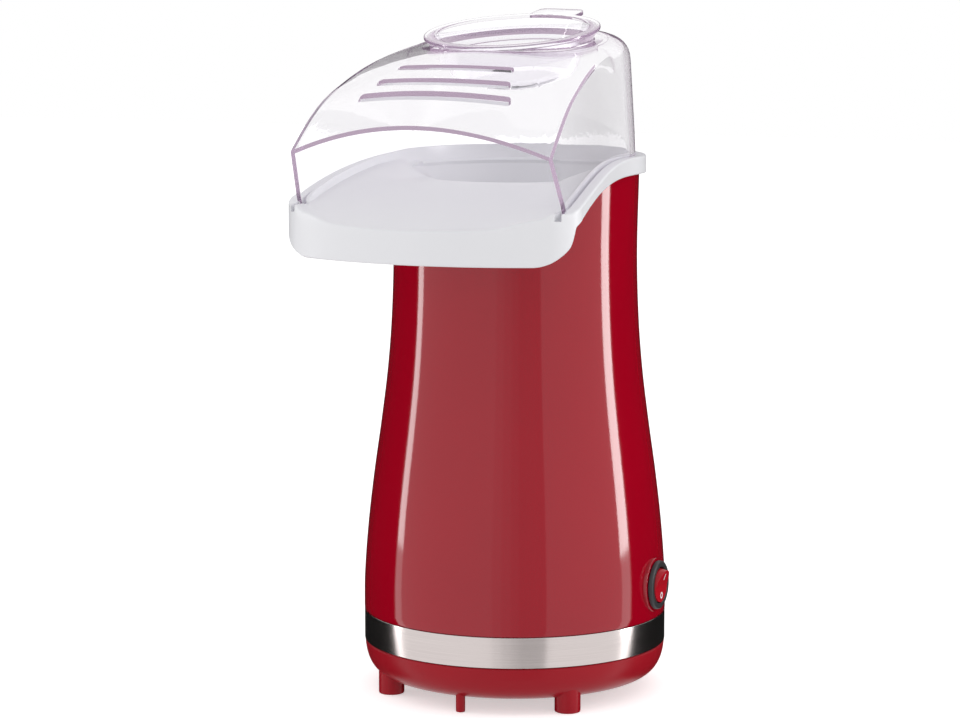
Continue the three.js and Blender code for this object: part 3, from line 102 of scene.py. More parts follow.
def through(stations: Sequence[Flat]) -> Line:
    """Smooth curve through stations.

    Args:
        stations: (place, value) pairs in rising order of place.

    Returns:
        The value at any place, straight past both ends.
    """
    places = [s[0] for s in stations]
    values = [s[1] for s in stations]
    last = len(stations) - 1
    slopes = []
    for i in range(last + 1):
        a, b = max(i - 1, 0), min(i + 1, last)
        slopes.append((values[b] - values[a]) / (places[b] - places[a]))

    def value(x: float) -> float:
        """Cubic Hermite value.

        Args:
            x: the place.

        Returns:
            The curve's value there.
        """
        if x <= places[0]:
            return values[0] + slopes[0] * (x - places[0])
        if x >= places[last]:
            return values[last] + slopes[last] * (x - places[last])
        i = next(k for k in range(last) if x <= places[k + 1])
        width = places[i + 1] - places[i]
        t = (x - places[i]) / width
        a = (1 + 2 * t) * (1 - t) ** 2 * values[i] + t * (1 - t) ** 2 * width * slopes[i]
        b = t * t * (3 - 2 * t) * values[i + 1] + t * t * (t - 1) * width * slopes[i + 1]
        return a + b

    return value


def falling_curve(start: Flat, start_handle: Flat, end_handle: Flat, end: Flat) -> Line:
    """Height of a cubic curve that runs towards -Y.

    Args:
        start: (y, z) where the curve leaves its level part.
        start_handle: (y, z) of the first handle.
        end_handle: (y, z) of the second handle.
        end: (y, z) at the front.

    Returns:
        The height at any y, level beyond the curve's ends.
    """
    knots = (start, start_handle, end_handle, end)
    halvings = 30

    def at(t: float, axis: int) -> float:
        """One coordinate of the curve."""
        weights = ((1 - t) ** 3, 3 * t * (1 - t) ** 2, 3 * t * t * (1 - t), t ** 3)
        return sum(w * k[axis] for w, k in zip(weights, knots))

    def height(y: float) -> float:
        """Height by halving.

        Args:
            y: the place along the curve.

        Returns:
            The curve's z there.
        """
        low, high = 0.0, 1.0
        for _ in range(halvings):
            middle = (low + high) / 2
            if at(middle, 0) > y:
                low = middle
            else:
                high = middle
        return at(low, 1)

    return height


def rounded(profile: Sequence[Flat], radii: Sequence[float], steps: int = 6) -> list[Flat]:
    """Closed outline with its corners rounded.

    Args:
        profile: corner points in order.
        radii: how far each corner's round reaches along its sides, 0 for a sharp corner.
        steps: facets of each round.

    Returns:
        The finer outline.
    """
    points: list[Flat] = []
    for i, (corner, reach) in enumerate(zip(profile, radii)):
        if reach <= 0:
            points.append(corner)
            continue
        here, before, after = (Vector(profile[k % len(profile)]) for k in (i, i - 1, i + 1))
        start = here + (before - here).normalized() * reach
        end = here + (after - here).normalized() * reach
        points += [tuple(p) for p in bent(start, here, end, steps)]
    return points


# ---------------------------------------------------------------- meshes and objects


def axis_place() -> Vector:
    """Where the body's upright axis stands in the frame, from the steel band's box."""
    middle = sum(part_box("steel_band"), Vector()) / 2
    return Vector((middle.x, middle.y, 0.0))


AXIS = axis_place()


def placed(point: Iterable[float]) -> Vector:
    """A point in millimetres from the body's axis, as a place in the frame in metres."""
    return Vector(point) * MM + AXIS


def raw_mesh(
    name: str,
    points: Sequence[Iterable[float]],
    faces: Sequence[Sequence[int]],
) -> bpy.types.Mesh:
    """Welded mesh with its faces outwards.

    Args:
        name: mesh name.
        points: places in millimetres about the body's axis.
        faces: point numbers of each face.

    Returns:
        The mesh, in the frame's metres.
    """
    mesh = bpy.data.meshes.new(name)
    mesh.from_pydata([placed(p) for p in points], [], [list(f) for f in faces])
    work = bmesh.new()
    work.from_mesh(mesh)
    bmesh.ops.remove_doubles(work, verts=work.verts, dist=WELD)
    bmesh.ops.dissolve_degenerate(work, edges=work.edges, dist=THINNEST)
    bmesh.ops.recalc_face_normals(work, faces=work.faces)
    work.to_mesh(mesh)
    work.free()
    mesh.update()
    return mesh


def new_object(data: bpy.types.ID) -> bpy.types.Object:
    """Object at the origin with its data's name, linked to the scene.

    Args:
        data: mesh, lamp or camera.

    Returns:
        The object.
    """
    item = bpy.data.objects.new(data.name, data)
    bpy.context.scene.collection.objects.link(item)
    return item


def band(low: int, high: int, count: int) -> list[list[int]]:
    """Faces between two rings of points that start at low and at high."""
    return [[low + i, low + (i + 1) % count, high + (i + 1) % count, high + i] for i in range(count)]


def loop_grid(columns: Sequence[Sequence[Point]], closed_round: bool = True) -> Grid:
    """Points and faces of a grid whose columns are closed sections.

    Args:
        columns: sections with equal counts of points, in order.
        closed_round: whether the last section joins the first.

    Returns:
        (points, faces); without a join both ends stay open.
    """
    count = len(columns[0])
    points = [p for column in columns for p in column]
    faces = []
    for c in range(len(columns) if closed_round else len(columns) - 1):
        here, there = c * count, ((c + 1) % len(columns)) * count
        for r in range(count):
            up = (r + 1) % count
            faces.append([here + r, there + r, there + up, here + up])
    return points, faces


def turned(
    name: str,
    profile: Sequence[Flat],
    facets: int = 128,
    matrix: Matrix | None = None,
) -> bpy.types.Mesh:
    """Closed (radius, height) outline turned about an axis.

    Args:
        name: mesh name.
        profile: closed outline in millimetres; radius 0 closes on the axis.
        facets: sections round the axis.
        matrix: lays the axis elsewhere; Z about the body's axis if None.

    Returns:
        The mesh.
    """
    lay = matrix or Matrix.Identity(4)
    columns = []
    for i in range(facets):
        angle = 2 * math.pi * i / facets
        columns.append([tuple(lay @ Vector((*polar(r, angle), z))) for r, z in profile])
    return raw_mesh(name, *loop_grid(columns))


def capped(name: str, points: Sequence[Iterable[float]]) -> bpy.types.Mesh:
    """Solid between two rings with as many points each.

    Args:
        name: mesh name.
        points: the lower ring's, then the upper ring's.

    Returns:
        The mesh.
    """
    count = len(points) // 2
    ends = [list(range(count)), list(range(count, 2 * count))]
    return raw_mesh(name, points, band(0, count, count) + ends)


def prism(
    name: str,
    outline: Sequence[Flat],
    low: float,
    high: float,
    matrix: Matrix | None = None,
) -> bpy.types.Mesh:
    """Flat outline pulled up from one level to another.

    Args:
        name: mesh name.
        outline: corners in millimetres.
        low: the lower level.
        high: the upper level.
        matrix: lays the prism elsewhere; about the body's axis if None.

    Returns:
        The mesh.
    """
    lay = matrix or Matrix.Identity(4)
    return capped(name, [lay @ Vector((x, y, z)) for z in (low, high) for x, y in outline])


def outwards(height: float, angle: float) -> Matrix:
    """Frame at a height whose Z points away from the axis, at an angle in degrees."""
    lay = Matrix(((0, 0, 1, 0), (0, 1, 0, 0), (-1, 0, 0, 0), (0, 0, 0, 1)))
    return Matrix.Rotation(math.radians(angle), 4, "Z") @ Matrix.Translation((0, 0, height)) @ lay


def mirrored(columns: Sequence[Sequence[Point]]) -> list[list[Point]]:
    """Sections of the other half, in turned order."""
    return [[(-x, y, z) for x, y, z in column] for column in columns][::-1]


class Carve(Enum):
    """What a boolean step does with its second solid."""

    ADD = "UNION"
    CUT = "DIFFERENCE"


class Body(Enum):
    """The moving bodies that visible pieces ride on."""

    MACHINE = "machine"
    ROCKER = "rocker"
    CHUTE = "chute"
    HOOD = "hood"
    CUP = "cup"


def baked(item: bpy.types.Object) -> None:
    """Turns an object's live modifiers into its plain mesh.

    Args:
        item: the object.
    """
    bpy.context.view_layer.update()
    graph = bpy.context.evaluated_depsgraph_get()
    mesh = bpy.data.meshes.new_from_object(item.evaluated_get(graph))
    item.modifiers.clear()
    item.data = mesh


def carve(item: bpy.types.Object, how: Carve, *tools: bpy.types.Mesh) -> None:
    """Adds solids to an object or cuts them away, one after the other.

    Args:
        item: the object that is worked on.
        how: add or cut.
        tools: the solids.
    """
    for tool in tools:
        other = new_object(tool)
        step = item.modifiers.new("carve", "BOOLEAN")
        step.operation = how.value
        step.solver = "EXACT"
        step.object = other
        baked(item)
        bpy.data.objects.remove(other)


# ---------------------------------------------------------------- shared sizes


@dataclass(frozen=True)
class Sizes:
    """Sizes that more than one moulding shares, in millimetres."""

    seat_gap: float = 0.35
    wall: float = 2.2
    body_radius: float = 70.0
    foot_height: float = 6.2
    pan_top: float = 22.5
    band_bottom: float = 22.85
    band_top: float = 36.75
    band_thickness: float = 0.6
    switch_height: float = 52.6
    body_stations: tuple[Flat, ...] = (
        (0, 70.1), (16, 69.9), (40, 68.1), (64, 65.3), (88, 61.9),
        (112, 58.9), (136, 57), (166, 56.1), (202, 56.8), (222, 57.2),
    )
    rim_high: float = 248.0
    rim_low: float = 230.2
    collar_high: float = 240.3
    collar_low: float = 222.0
    collar_radius: float = 60.0
    skirt_low: float = 207.5
    half_width: float = 69.3
    side_end: float = 97.0
    rim_handles: Point = (39.0, 28.0, 10.0)
    collar_handles: Point = (50.0, 21.0, 13.0)
    reach: float = 118.0
    groove_depth: float = 3.0
    hood_wall: float = 2.0

    def __post_init__(self) -> None:
        """Works out the curves once; handles are the level run, the run and the rise at the low end."""
        end = -self.side_end
        object.__setattr__(self, "_body", through(self.body_stations))
        for name, high, low, (level, run, rise) in (
            ("_rim", self.rim_high, self.rim_low, self.rim_handles),
            ("_collar", self.collar_high, self.collar_low, self.collar_handles),
        ):
            curve = falling_curve((0, high), (-level, high), (end + run, low + rise), (end, low))
            object.__setattr__(self, name, curve)

    def body(self, z: float) -> float:
        """Radius of the body's outside at a height."""
        return self._body(z - self.band_top)

    def rim(self, y: float) -> float:
        """Height of the chute's rim at y."""
        return self._rim(max(y, -self.side_end))

    def collar(self, y: float) -> float:
        """Height of the collar's lower edge at y."""
        return self._collar(max(y, -self.side_end))

    def side(self, y: float, back: float, half: float) -> float:
        """Half width of an outline with a round back and flared sides.

        Args:
            y: the place along the outline.
            back: radius of the round back.
            half: half width at the sides' front end.

        Returns:
            The half width at y.
        """
        if y > 0:
            return math.sqrt(max(back * back - y * y, 0.0))
        return back + (half - back) * smooth(-y / self.side_end)


SIZES = Sizes()


# ---------------------------------------------------------------- finishes


def linear(code: str) -> tuple[float, float, float, float]:
    """Linear colour from an sRGB one.

    Args:
        code: hex code.

    Returns:
        Red, green, blue and alpha.
    """
    parts = [int(code.lstrip("#")[i:i + 2], 16) / 255 for i in (0, 2, 4)]
    red, green, blue = (p / 12.92 if p <= 0.04045 else ((p + 0.055) / 1.055) ** 2.4 for p in parts)
    return red, green, blue, 1.0


def per_metre(size: float) -> float:
    """Texture scale whose features repeat about every size millimetres."""
    return 1000.0 / size


def add_node(
    tree: bpy.types.NodeTree,
    kind: str,
    links: dict[str | int, object] | None = None,
    **settings: object,
) -> bpy.types.Node:
    """Adds a node with its settings and links.

    Args:
        tree: the node tree.
        kind: the node's type.
        links: per input, a node whose first output feeds it, a socket or a plain value.
        settings: attributes of the node.

    Returns:
        The new node.
    """
    node = tree.nodes.new(kind)
    for name, value in settings.items():
        setattr(node, name, value)
    for name, value in (links or {}).items():
        if isinstance(value, bpy.types.Node):
            value = value.outputs[0]
        if isinstance(value, bpy.types.NodeSocket):
            tree.links.new(value, node.inputs[name])
        else:
            node.inputs[name].default_value = value
    return node


def cleared_tree(owner: bpy.types.Material | bpy.types.World) -> bpy.types.NodeTree:
    """The empty node tree of a material or world.

    Args:
        owner: what the tree belongs to.

    Returns:
        The tree.
    """
    owner.use_nodes = True
    owner.node_tree.nodes.clear()
    return owner.node_tree


def of_ray(tree: bpy.types.NodeTree, *names: str) -> bpy.types.Node:
    """The largest of some light-path values, so 1 where a ray is of any named kind.

    Args:
        tree: the node tree.
        names: two or more outputs of Light Path.

    Returns:
        The node that gives the value.
    """
    ray = add_node(tree, "ShaderNodeLightPath")
    largest = ray.outputs[names[0]]
    for name in names[1:]:
        largest = add_node(tree, "ShaderNodeMath", {0: largest, 1: ray.outputs[name]}, operation="MAXIMUM")
    return largest


@dataclass(frozen=True)
class Finish:
    """A material with two close tones, a grain that breaks its gloss, and a fine bump.

    Tone patches are what uneven cooling, handling or oxide leaves; grain_size is the
    spacing of the surface's own texture. Sizes are in millimetres.
    """

    name: str
    tone: str
    other_tone: str
    roughness: float
    patch_size: float
    grain_size: float
    grain_depth: float
    gloss_play: float
    metallic: float = 0.0
    ior: float = 1.5
    specular: float = 0.5
    grain_strength: float = 0.6

    def build(self) -> bpy.types.Material:
        """The material, made once.

        Returns:
            The material.
        """
        made = bpy.data.materials.get(self.name)
        if made:
            return made
        made = bpy.data.materials.new(self.name)
        tree = cleared_tree(made)
        shader = add_node(tree, "ShaderNodeBsdfPrincipled", {**self.fixed(), **self.pattern(tree)})
        add_node(tree, "ShaderNodeOutputMaterial", self.surface(tree, shader))
        return made

    def fixed(self) -> dict[str, float]:
        """What is the same all over the surface; a metal keeps the usual IOR.

        Returns:
            Values of the shader's inputs.
        """
        values = {"Metallic": self.metallic, "Specular IOR Level": self.specular}
        if not self.metallic:
            values["IOR"] = self.ior
        return values

    def surface(self, tree: bpy.types.NodeTree, shader: bpy.types.Node) -> dict[str, bpy.types.Node]:
        """What feeds the material's output: the shader alone."""
        return {"Surface": shader}

    def place(self, tree: bpy.types.NodeTree) -> bpy.types.Node:
        """Coordinates centred on the body's axis, in metres."""
        where = add_node(tree, "ShaderNodeTexCoord").outputs["Object"]
        return add_node(tree, "ShaderNodeMapping", {"Vector": where, "Location": tuple(-AXIS)})

    def pattern(self, tree: bpy.types.NodeTree) -> dict[str, object]:
        """Broad tone patches and a fine grain.

        Args:
            tree: the material's tree.

        Returns:
            Links for the shader's inputs.
        """
        here = self.place(tree)
        patches = add_node(tree, "ShaderNodeTexNoise", {
            "Vector": here, "Scale": per_metre(self.patch_size), "Detail": 3.0, "Roughness": 0.5,
        })
        grain = add_node(tree, "ShaderNodeTexNoise", {
            "Vector": here, "Scale": per_metre(self.grain_size), "Detail": 4.0, "Roughness": 0.6,
        })
        return self.relief(tree, patches.outputs["Fac"], grain.outputs["Fac"])

    def relief(
        self,
        tree: bpy.types.NodeTree,
        patches: bpy.types.NodeSocket,
        grain: bpy.types.NodeSocket,
    ) -> dict[str, object]:
        """Two tones, uneven gloss and fine bump.

        Args:
            tree: the material's tree.
            patches: what mixes the tones.
            grain: what breaks the gloss and lifts the surface.

        Returns:
            Links for the shader's inputs.
        """
        tones = add_node(tree, "ShaderNodeMix", {
            "Factor": patches, "A": linear(self.tone), "B": linear(self.other_tone),
        }, data_type="RGBA")
        gloss = add_node(tree, "ShaderNodeMapRange", {
            "Value": grain,
            "To Min": max(self.roughness - self.gloss_play, 0.0),
            "To Max": self.roughness + self.gloss_play,
        })
        bump = add_node(tree, "ShaderNodeBump", {
            "Height": grain, "Strength": self.grain_strength, "Distance": self.grain_depth * MM,
        })
        return {"Base Color": tones.outputs["Result"], "Roughness": gloss, "Normal": bump}


@dataclass(frozen=True)
class BrushedSheet(Finish):
    """Rolled metal brushed round the machine: long fine scratches that run level."""

    scratch_length: float = 60.0
    scratch_pitch: float = 0.35
    stretch: float = 0.75
    across_scratches: float = 0.25

    def fixed(self) -> dict[str, float]:
        """Adds the highlight that is stretched across the scratches."""
        stretched = {"Anisotropic": self.stretch, "Anisotropic Rotation": self.across_scratches}
        return super().fixed() | stretched

    def pattern(self, tree: bpy.types.NodeTree) -> dict[str, object]:
        """Scratches from noise that is stretched round the body's axis.

        Args:
            tree: the material's tree.

        Returns:
            Links for the shader's inputs.
        """
        here = self.place(tree)
        parts = add_node(tree, "ShaderNodeSeparateXYZ", {"Vector": here})
        turn = add_node(tree, "ShaderNodeTexGradient", {"Vector": here}, gradient_type="RADIAL")
        lengths = 2 * math.pi * SIZES.body_radius / self.scratch_length
        along = add_node(tree, "ShaderNodeMath", {0: turn.outputs["Fac"], 1: lengths}, operation="MULTIPLY")
        across = add_node(tree, "ShaderNodeMath", {
            0: parts.outputs["Z"], 1: per_metre(self.scratch_pitch),
        }, operation="MULTIPLY")
        stretched = add_node(tree, "ShaderNodeCombineXYZ", {"X": along, "Y": across})
        scratches = add_node(tree, "ShaderNodeTexNoise", {
            "Vector": stretched, "Scale": 1.0, "Detail": 3.0, "Roughness": 0.65,
        }).outputs["Fac"]
        return self.relief(tree, scratches, scratches)


@dataclass(frozen=True)
class ClearMoulding(Finish):
    """Clear moulded plastic: light passes, the wall takes up a faint tint, and its edges carry a painted
    reflection.
    """

    tint: str = "#C9B4C9"
    tint_density: float = 6.0
    # Colour of a painted reflection: the diffuse surface that rays mirrored inside the wall end on.
    edge: str = "#BEA9BD"
    passing: str = "#FDFCFE"
    trapped_after: float = 1.5
    deepest: float = 5.5

    def fixed(self) -> dict[str, float]:
        """Adds the light that passes."""
        return super().fixed() | {"Transmission Weight": 1.0}

    def surface(self, tree: bpy.types.NodeTree, shader: bpy.types.Node) -> dict[str, bpy.types.Node]:
        """Plastic whose tint is taken up inside the wall.

        A ray that was mirrored twice inside the wall ends on a painted reflection: a diffuse surface
        of the edge colour. Shadows, soft light and rays that have crossed many walls pass straight on.

        Args:
            tree: the material's tree.
            shader: the clear shader.

        Returns:
            Links for the material's output.
        """
        ray = add_node(tree, "ShaderNodeLightPath")
        trapped, deep = (
            add_node(tree, "ShaderNodeMath", {0: ray.outputs[name], 1: limit}, operation="GREATER_THAN")
            for name, limit in (("Glossy Depth", self.trapped_after), ("Ray Depth", self.deepest))
        )
        soft = of_ray(tree, "Is Shadow Ray", "Is Diffuse Ray")
        passes = add_node(tree, "ShaderNodeMath", {0: soft, 1: deep}, operation="MAXIMUM")
        # Painted reflection in the edges: a diffuse lilac surface takes the place of light mirrored inside
        # the wall.
        glow = add_node(tree, "ShaderNodeBsdfDiffuse", {"Color": linear(self.edge)})
        light = add_node(tree, "ShaderNodeBsdfTransparent", {"Color": linear(self.passing)})
        with_painted_edge_reflection = add_node(tree, "ShaderNodeMixShader", {0: trapped, 1: shader, 2: glow})
        taken = add_node(tree, "ShaderNodeVolumeAbsorption", {
            "Color": linear(self.tint), "Density": self.tint_density,
        })
        mixed = add_node(tree, "ShaderNodeMixShader", {0: passes, 1: with_painted_edge_reflection, 2: light})
        return {"Surface": mixed, "Volume": taken}


# High-gloss ABS from a polished mould: a deep even red with soft orange peel in its reflections.
RED_GLOSS = Finish("red_abs_high_gloss", "#A2001C", "#960019", 0.07, 70, 6, 0.006, 0.02, ior=1.53)
# The same ABS from a plain mould: duller, with a fine grain.
RED_SATIN = Finish(
    "red_abs_satin", "#A40E20", "#980B1C", 0.3, 50, 1.2, 0.008, 0.04, ior=1.53, specular=0.22,
)
# Polypropylene, satin moulded: chalky white with soft highlights.
WHITE_SATIN = Finish(
    "white_polypropylene_satin", "#E9E9EC", "#E3E3E7", 0.33, 60, 1.5, 0.012, 0.05, ior=1.49,
)
# Injection-moulded SAN: water clear, with faint flow waves, and lilac edges that are a painted reflection.
CLEAR_SAN = ClearMoulding("clear_san_moulded", "#FFFFFF", "#FBFAFC", 0.015, 80, 26, 0.05, 0.01, ior=1.52)
# Stainless strip, brushed along its length: level hairlines, soft stretched reflections.
STEEL_BRUSHED = BrushedSheet(
    "stainless_brushed", "#C8BEBC", "#E0D6D4", 0.2, 40, 2, 0.006, 0.05, metallic=1.0, grain_strength=0.5,
)
# Nylon with a spark-eroded grain: near black and dull, with a soft sheen.
BLACK_GRAIN = Finish("black_nylon_grained", "#2A2A2D", "#222225", 0.46, 12, 0.6, 0.03, 0.08, ior=1.53)
# Moulded polycarbonate: glossy, slightly brighter than the body, with little sheen.
ROCKER_RED = Finish(
    "red_polycarbonate_gloss", "#B81224", "#A90F20", 0.16, 8, 2.5, 0.006, 0.03, ior=1.58, specular=0.2,
)
# Rolled brass strip: warm yellow with darker handled patches.
BRASS_STRIP = Finish("brass_strip_rolled", "#C2A566", "#A68A50", 0.32, 5, 0.5, 0.006, 0.08, metallic=1.0)
# Compression-moulded phenolic: dull brown with a cloudy grain.
PHENOLIC = Finish("phenolic_moulding", "#4B3A30", "#3E3028", 0.6, 18, 1.0, 0.03, 0.08, ior=1.6)
# Deep-drawn aluminium: soft grey sheen, faintly uneven from the drawing.
ALUMINIUM = Finish("aluminium_drawn", "#C3C6CA", "#A9ADB2", 0.34, 22, 0.9, 0.01, 0.1, metallic=1.0)
# Moulded silicone rubber: matt grey that takes a dusty bloom.
SILICONE = Finish("silicone_rubber_grey", "#8F9196", "#83858A", 0.7, 10, 0.8, 0.02, 0.08, ior=1.43)
# Pressed mica sheet: golden brown flakes with an uneven glint.
MICA = Finish("mica_sheet_flaked", "#BBAA82", "#9C8B66", 0.45, 6, 1.4, 0.03, 0.15, ior=1.58)
# Drawn resistance wire after heating: straw to grey oxide.
WIRE = Finish("resistance_wire_oxidised", "#8F8579", "#6C645B", 0.42, 6, 0.7, 0.008, 0.1, metallic=1.0)
# Zinc-plated steel: pale with a mild mottle.
PLATED = Finish("zinc_plated_steel", "#C9C7C1", "#ABA9A2", 0.33, 14, 0.8, 0.008, 0.1, metallic=1.0)
# Pressed paper and phenolic board: tan with fine fibres.
BOARD = Finish("paper_phenolic_board", "#8C6B36", "#7A5C2D", 0.55, 9, 0.7, 0.015, 0.06, ior=1.55)
# Fired ceramic sleeve: off-white and chalky.
CERAMIC = Finish("ceramic_sleeve", "#D3CCBB", "#BFB8A8", 0.5, 4, 0.7, 0.01, 0.06, ior=1.6)

BY_SLOT: dict[str, Finish] = {
    "red": RED_GLOSS,
    "steel": STEEL_BRUSHED,
    "white": WHITE_SATIN,
    "clear": CLEAR_SAN,
    "black": BLACK_GRAIN,
    "rocker_red": ROCKER_RED,
    "brass": BRASS_STRIP,
    "phenolic": PHENOLIC,
    "aluminium": ALUMINIUM,
    "seal": SILICONE,
    "mica": MICA,
    "heating_wire": WIRE,
    "plated_steel": PLATED,
    "board": BOARD,
    "fuse": CERAMIC,
}


def finish_piece(
    item: bpy.types.Object,
    finish: Finish,
    slot: str,
    body: Body,
    *nodes: str,
    angle: float = 32.0,
) -> bpy.types.Object:
    """Gives a piece its shading and material, hangs it on its body and hides the CAD nodes that it stands
    for.

    Args:
        item: the piece.
        finish: its finish.
        slot: its material slot; not used.
        body: what it rides on.
        nodes: the CAD nodes, none for a detail of its own.
        angle: edges over this many degrees stay crisp.

    Returns:
        The piece.
    """
    item.data.materials.clear()
    item.data.materials.append(finish.build())
    for polygon in item.data.polygons:
        polygon.material_index = 0
    item.data.shade_smooth()
    item.data.set_sharp_from_angle(angle=math.radians(angle))
    if nodes:
        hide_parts(*nodes)
    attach(item, body.value)
    LOG.info("%s: %d faces", item.name, len(item.data.polygons))
    return item


# ---------------------------------------------------------------- base and band


@dataclass(frozen=True)
class RadialRepeat:
    """Geometry nodes that repeat a solid round the body's axis and make it one mesh."""

    name: str

    def tree(self) -> bpy.types.NodeTree:
        """Tree with the solid, how many, the axis and the material as its inputs.

        Returns:
            The tree.
        """
        tree = bpy.data.node_groups.new(self.name, "GeometryNodeTree")
        kinds = (("Geometry", "Geometry"), ("Solid", "Object"), ("Count", "Int"), ("Axis", "Vector"),
                 ("Material", "Material"))
        for name, kind in kinds:
            tree.interface.new_socket(name, in_out="INPUT", socket_type=f"NodeSocket{kind}")
        tree.interface.new_socket("Geometry", in_out="OUTPUT", socket_type="NodeSocketGeometry")
        given = add_node(tree, "NodeGroupInput").outputs
        solid = add_node(tree, "GeometryNodeObjectInfo", {"Object": given["Solid"]})
        centre = add_node(tree, "ShaderNodeVectorMath", {0: given["Axis"], 1: (-1.0, -1.0, -1.0)},
                          operation="MULTIPLY")
        about = add_node(tree, "GeometryNodeTransform", {
            "Geometry": solid.outputs["Geometry"], "Translation": centre,
        })
        points = add_node(tree, "GeometryNodePoints", {"Count": given["Count"], "Position": given["Axis"]})
        index = add_node(tree, "GeometryNodeInputIndex")
        share = add_node(tree, "ShaderNodeMath", {0: index, 1: given["Count"]}, operation="DIVIDE")
        angle = add_node(tree, "ShaderNodeMath", {0: share, 1: 2 * math.pi}, operation="MULTIPLY")
        turn = add_node(tree, "ShaderNodeCombineXYZ", {"Z": angle})
        copies = add_node(tree, "GeometryNodeInstanceOnPoints", {
            "Points": points, "Instance": about, "Rotation": turn,
        })
        real = add_node(tree, "GeometryNodeRealizeInstances", {"Geometry": copies})
        dressed = add_node(tree, "GeometryNodeSetMaterial", {
            "Geometry": real, "Material": given["Material"],
        })
        add_node(tree, "NodeGroupOutput", {0: dressed})
        return tree

    def of(self, solid: bpy.types.Mesh, count: int, material: bpy.types.Material) -> bpy.types.Mesh:
        """The solid repeated round the axis.

        Args:
            solid: one of them, in place.
            count: how many.
            material: what they are made of.

        Returns:
            All of them as one plain mesh.
        """
        source = new_object(solid)
        holder = new_object(bpy.data.meshes.new(self.name))
        step = holder.modifiers.new("repeat", "NODES")
        step.node_group = self.tree()
        values = {"Solid": source, "Count": count, "Axis": tuple(AXIS), "Material": material}
        for socket in step.node_group.interface.items_tree:
            if socket.name in values:
                step[socket.identifier] = values[socket.name]
        baked(holder)
        mesh = holder.data
        for used in (holder, source):
            bpy.data.objects.remove(used)
        return mesh


@dataclass(frozen=True)
class BasePan:
    """Red pan under the machine with its feet, front peg and air inlet."""

    shoulder: float = 69.8
    shoulder_round: float = 0.5
    floor_radius: float = 57.0
    floor_middle: float = 30.0
    side_handle: Flat = (69.0, 0.8)
    spigot: Flat = (66.15, 63.95)
    spigot_rise: float = 7.0
    spigot_root: float = 6.0
    foot_radius: float = 5.9
    foot_circle: float = 60.6
    foot_spread: float = 46.5
    foot_round: float = 0.9
    peg_radius: float = 2.1
    peg_circle: float = 61.7
    peg_round: float = 0.5
    peg_root: float = 4.0
    screw_seat: float = 18.5
    screw_head: float = 3.25
    screw_bore: float = 1.85
    screw_floor: float = 2.0
    post_top: float = 29.5
    post_radius: float = 3.9
    slots: int = 12
    slot_start: float = 16.0
    slot_length: float = 20.0
    slot_width: float = 3.0
    ear_angles: tuple[int, ...] = (-90, 30, 150)
    ear_circle: float = 55.0
    ear_post_root: float = 1.2
    ear_post_top: float = 63.65
    ear_bore: float = 14.0

    def foot_places(self) -> list[Flat]:
        """Middles of the four feet."""
        angles = [end + side * self.foot_spread for end in (90, -90) for side in (-1, 1)]
        return [polar(self.foot_circle, math.radians(angle)) for angle in angles]

    def bowl(self) -> bpy.types.Mesh:
        """The pan itself: flat underside, swelling side, locating rim inside the body.

        Returns:
            The mesh, without feet and holes.
        """
        low, top = SIZES.foot_height, SIZES.pan_top
        handle = Vector((self.side_handle[0], low + self.side_handle[1]))
        side = bent(Vector((self.floor_radius, low)), handle, Vector((self.shoulder, top)), 22)
        ease = self.shoulder_round
        outer, inner = self.spigot
        return turned("base_pan_moulding", [
            (0, low), (self.floor_middle, low), *[tuple(p) for p in side[:-1]],
            (self.shoulder, top - ease), (self.shoulder - ease, top),
            (outer, top), (outer, top + self.spigot_rise), (inner, top + self.spigot_rise),
            (inner, top - self.spigot_root), (self.floor_radius, low + SIZES.wall), (0, low + SIZES.wall),
        ], 160)

    def upright(self, radius: float, low: float, high: float, at: Flat, eased: float = 0) -> bpy.types.Mesh:
        """Round post with its lower edge eased.

        Args:
            radius: its radius.
            low: its foot.
            high: its top.
            at: its middle.
            eased: reach of the lower edge's round.

        Returns:
            The post.
        """
        profile = rounded([(0, low), (radius, low), (radius, high), (0, high)], [0, eased, 0, 0], 4)
        return turned("post", profile, 40, Matrix.Translation((*at, 0)))

    def slot_cutters(self) -> bpy.types.Mesh:
        """Ring of round-ended slots, repeated by geometry nodes.

        Returns:
            The cutters.
        """
        half, far = self.slot_width / 2, self.slot_start + self.slot_length
        end = [polar(half, math.radians(angle)) for angle in spread(-90, 90, 8)[1:-1]]
        outline = [(self.slot_start, -half), (far, -half), *[(far + x, y) for x, y in end],
                   (far, half), (self.slot_start, half)]
        low, high = SIZES.foot_height - 2 * PAST, SIZES.foot_height + 2 * SIZES.wall
        single = prism("inlet_slot", outline, low, high)
        return RadialRepeat("inlet_slot_ring").of(single, self.slots, RED_SATIN.build())

    def build(self) -> bpy.types.Object:
        """The finished pan.

        Returns:
            The piece.
        """
        item = new_object(self.bowl())
        adds, cuts = [], []
        foot_top = self.screw_seat + self.screw_floor
        for place in self.foot_places():
            adds.append(self.upright(self.foot_radius, 0, foot_top, place, self.foot_round))
            adds.append(self.upright(self.post_radius, self.screw_seat, self.post_top, place))
            cuts.append(self.upright(self.screw_head, -PAST, self.screw_seat, place))
            cuts.append(self.upright(self.screw_bore, 0, self.post_top + PAST, place))
        peg = (self.peg_radius, 0, SIZES.foot_height + self.peg_root, (0, -self.peg_circle), self.peg_round)
        adds.append(self.upright(*peg))
        for angle in self.ear_angles:
            place = polar(self.ear_circle, math.radians(angle))
            root, top = SIZES.foot_height + self.ear_post_root, self.ear_post_top
            adds.append(self.upright(self.post_radius, root, top, place))
            cuts.append(self.upright(self.screw_bore, top - self.ear_bore, top + PAST, place))
        carve(item, Carve.ADD, *adds)
        carve(item, Carve.CUT, *cuts, self.slot_cutters())
        return finish_piece(item, RED_SATIN, "red", Body.MACHINE, "base_pan")


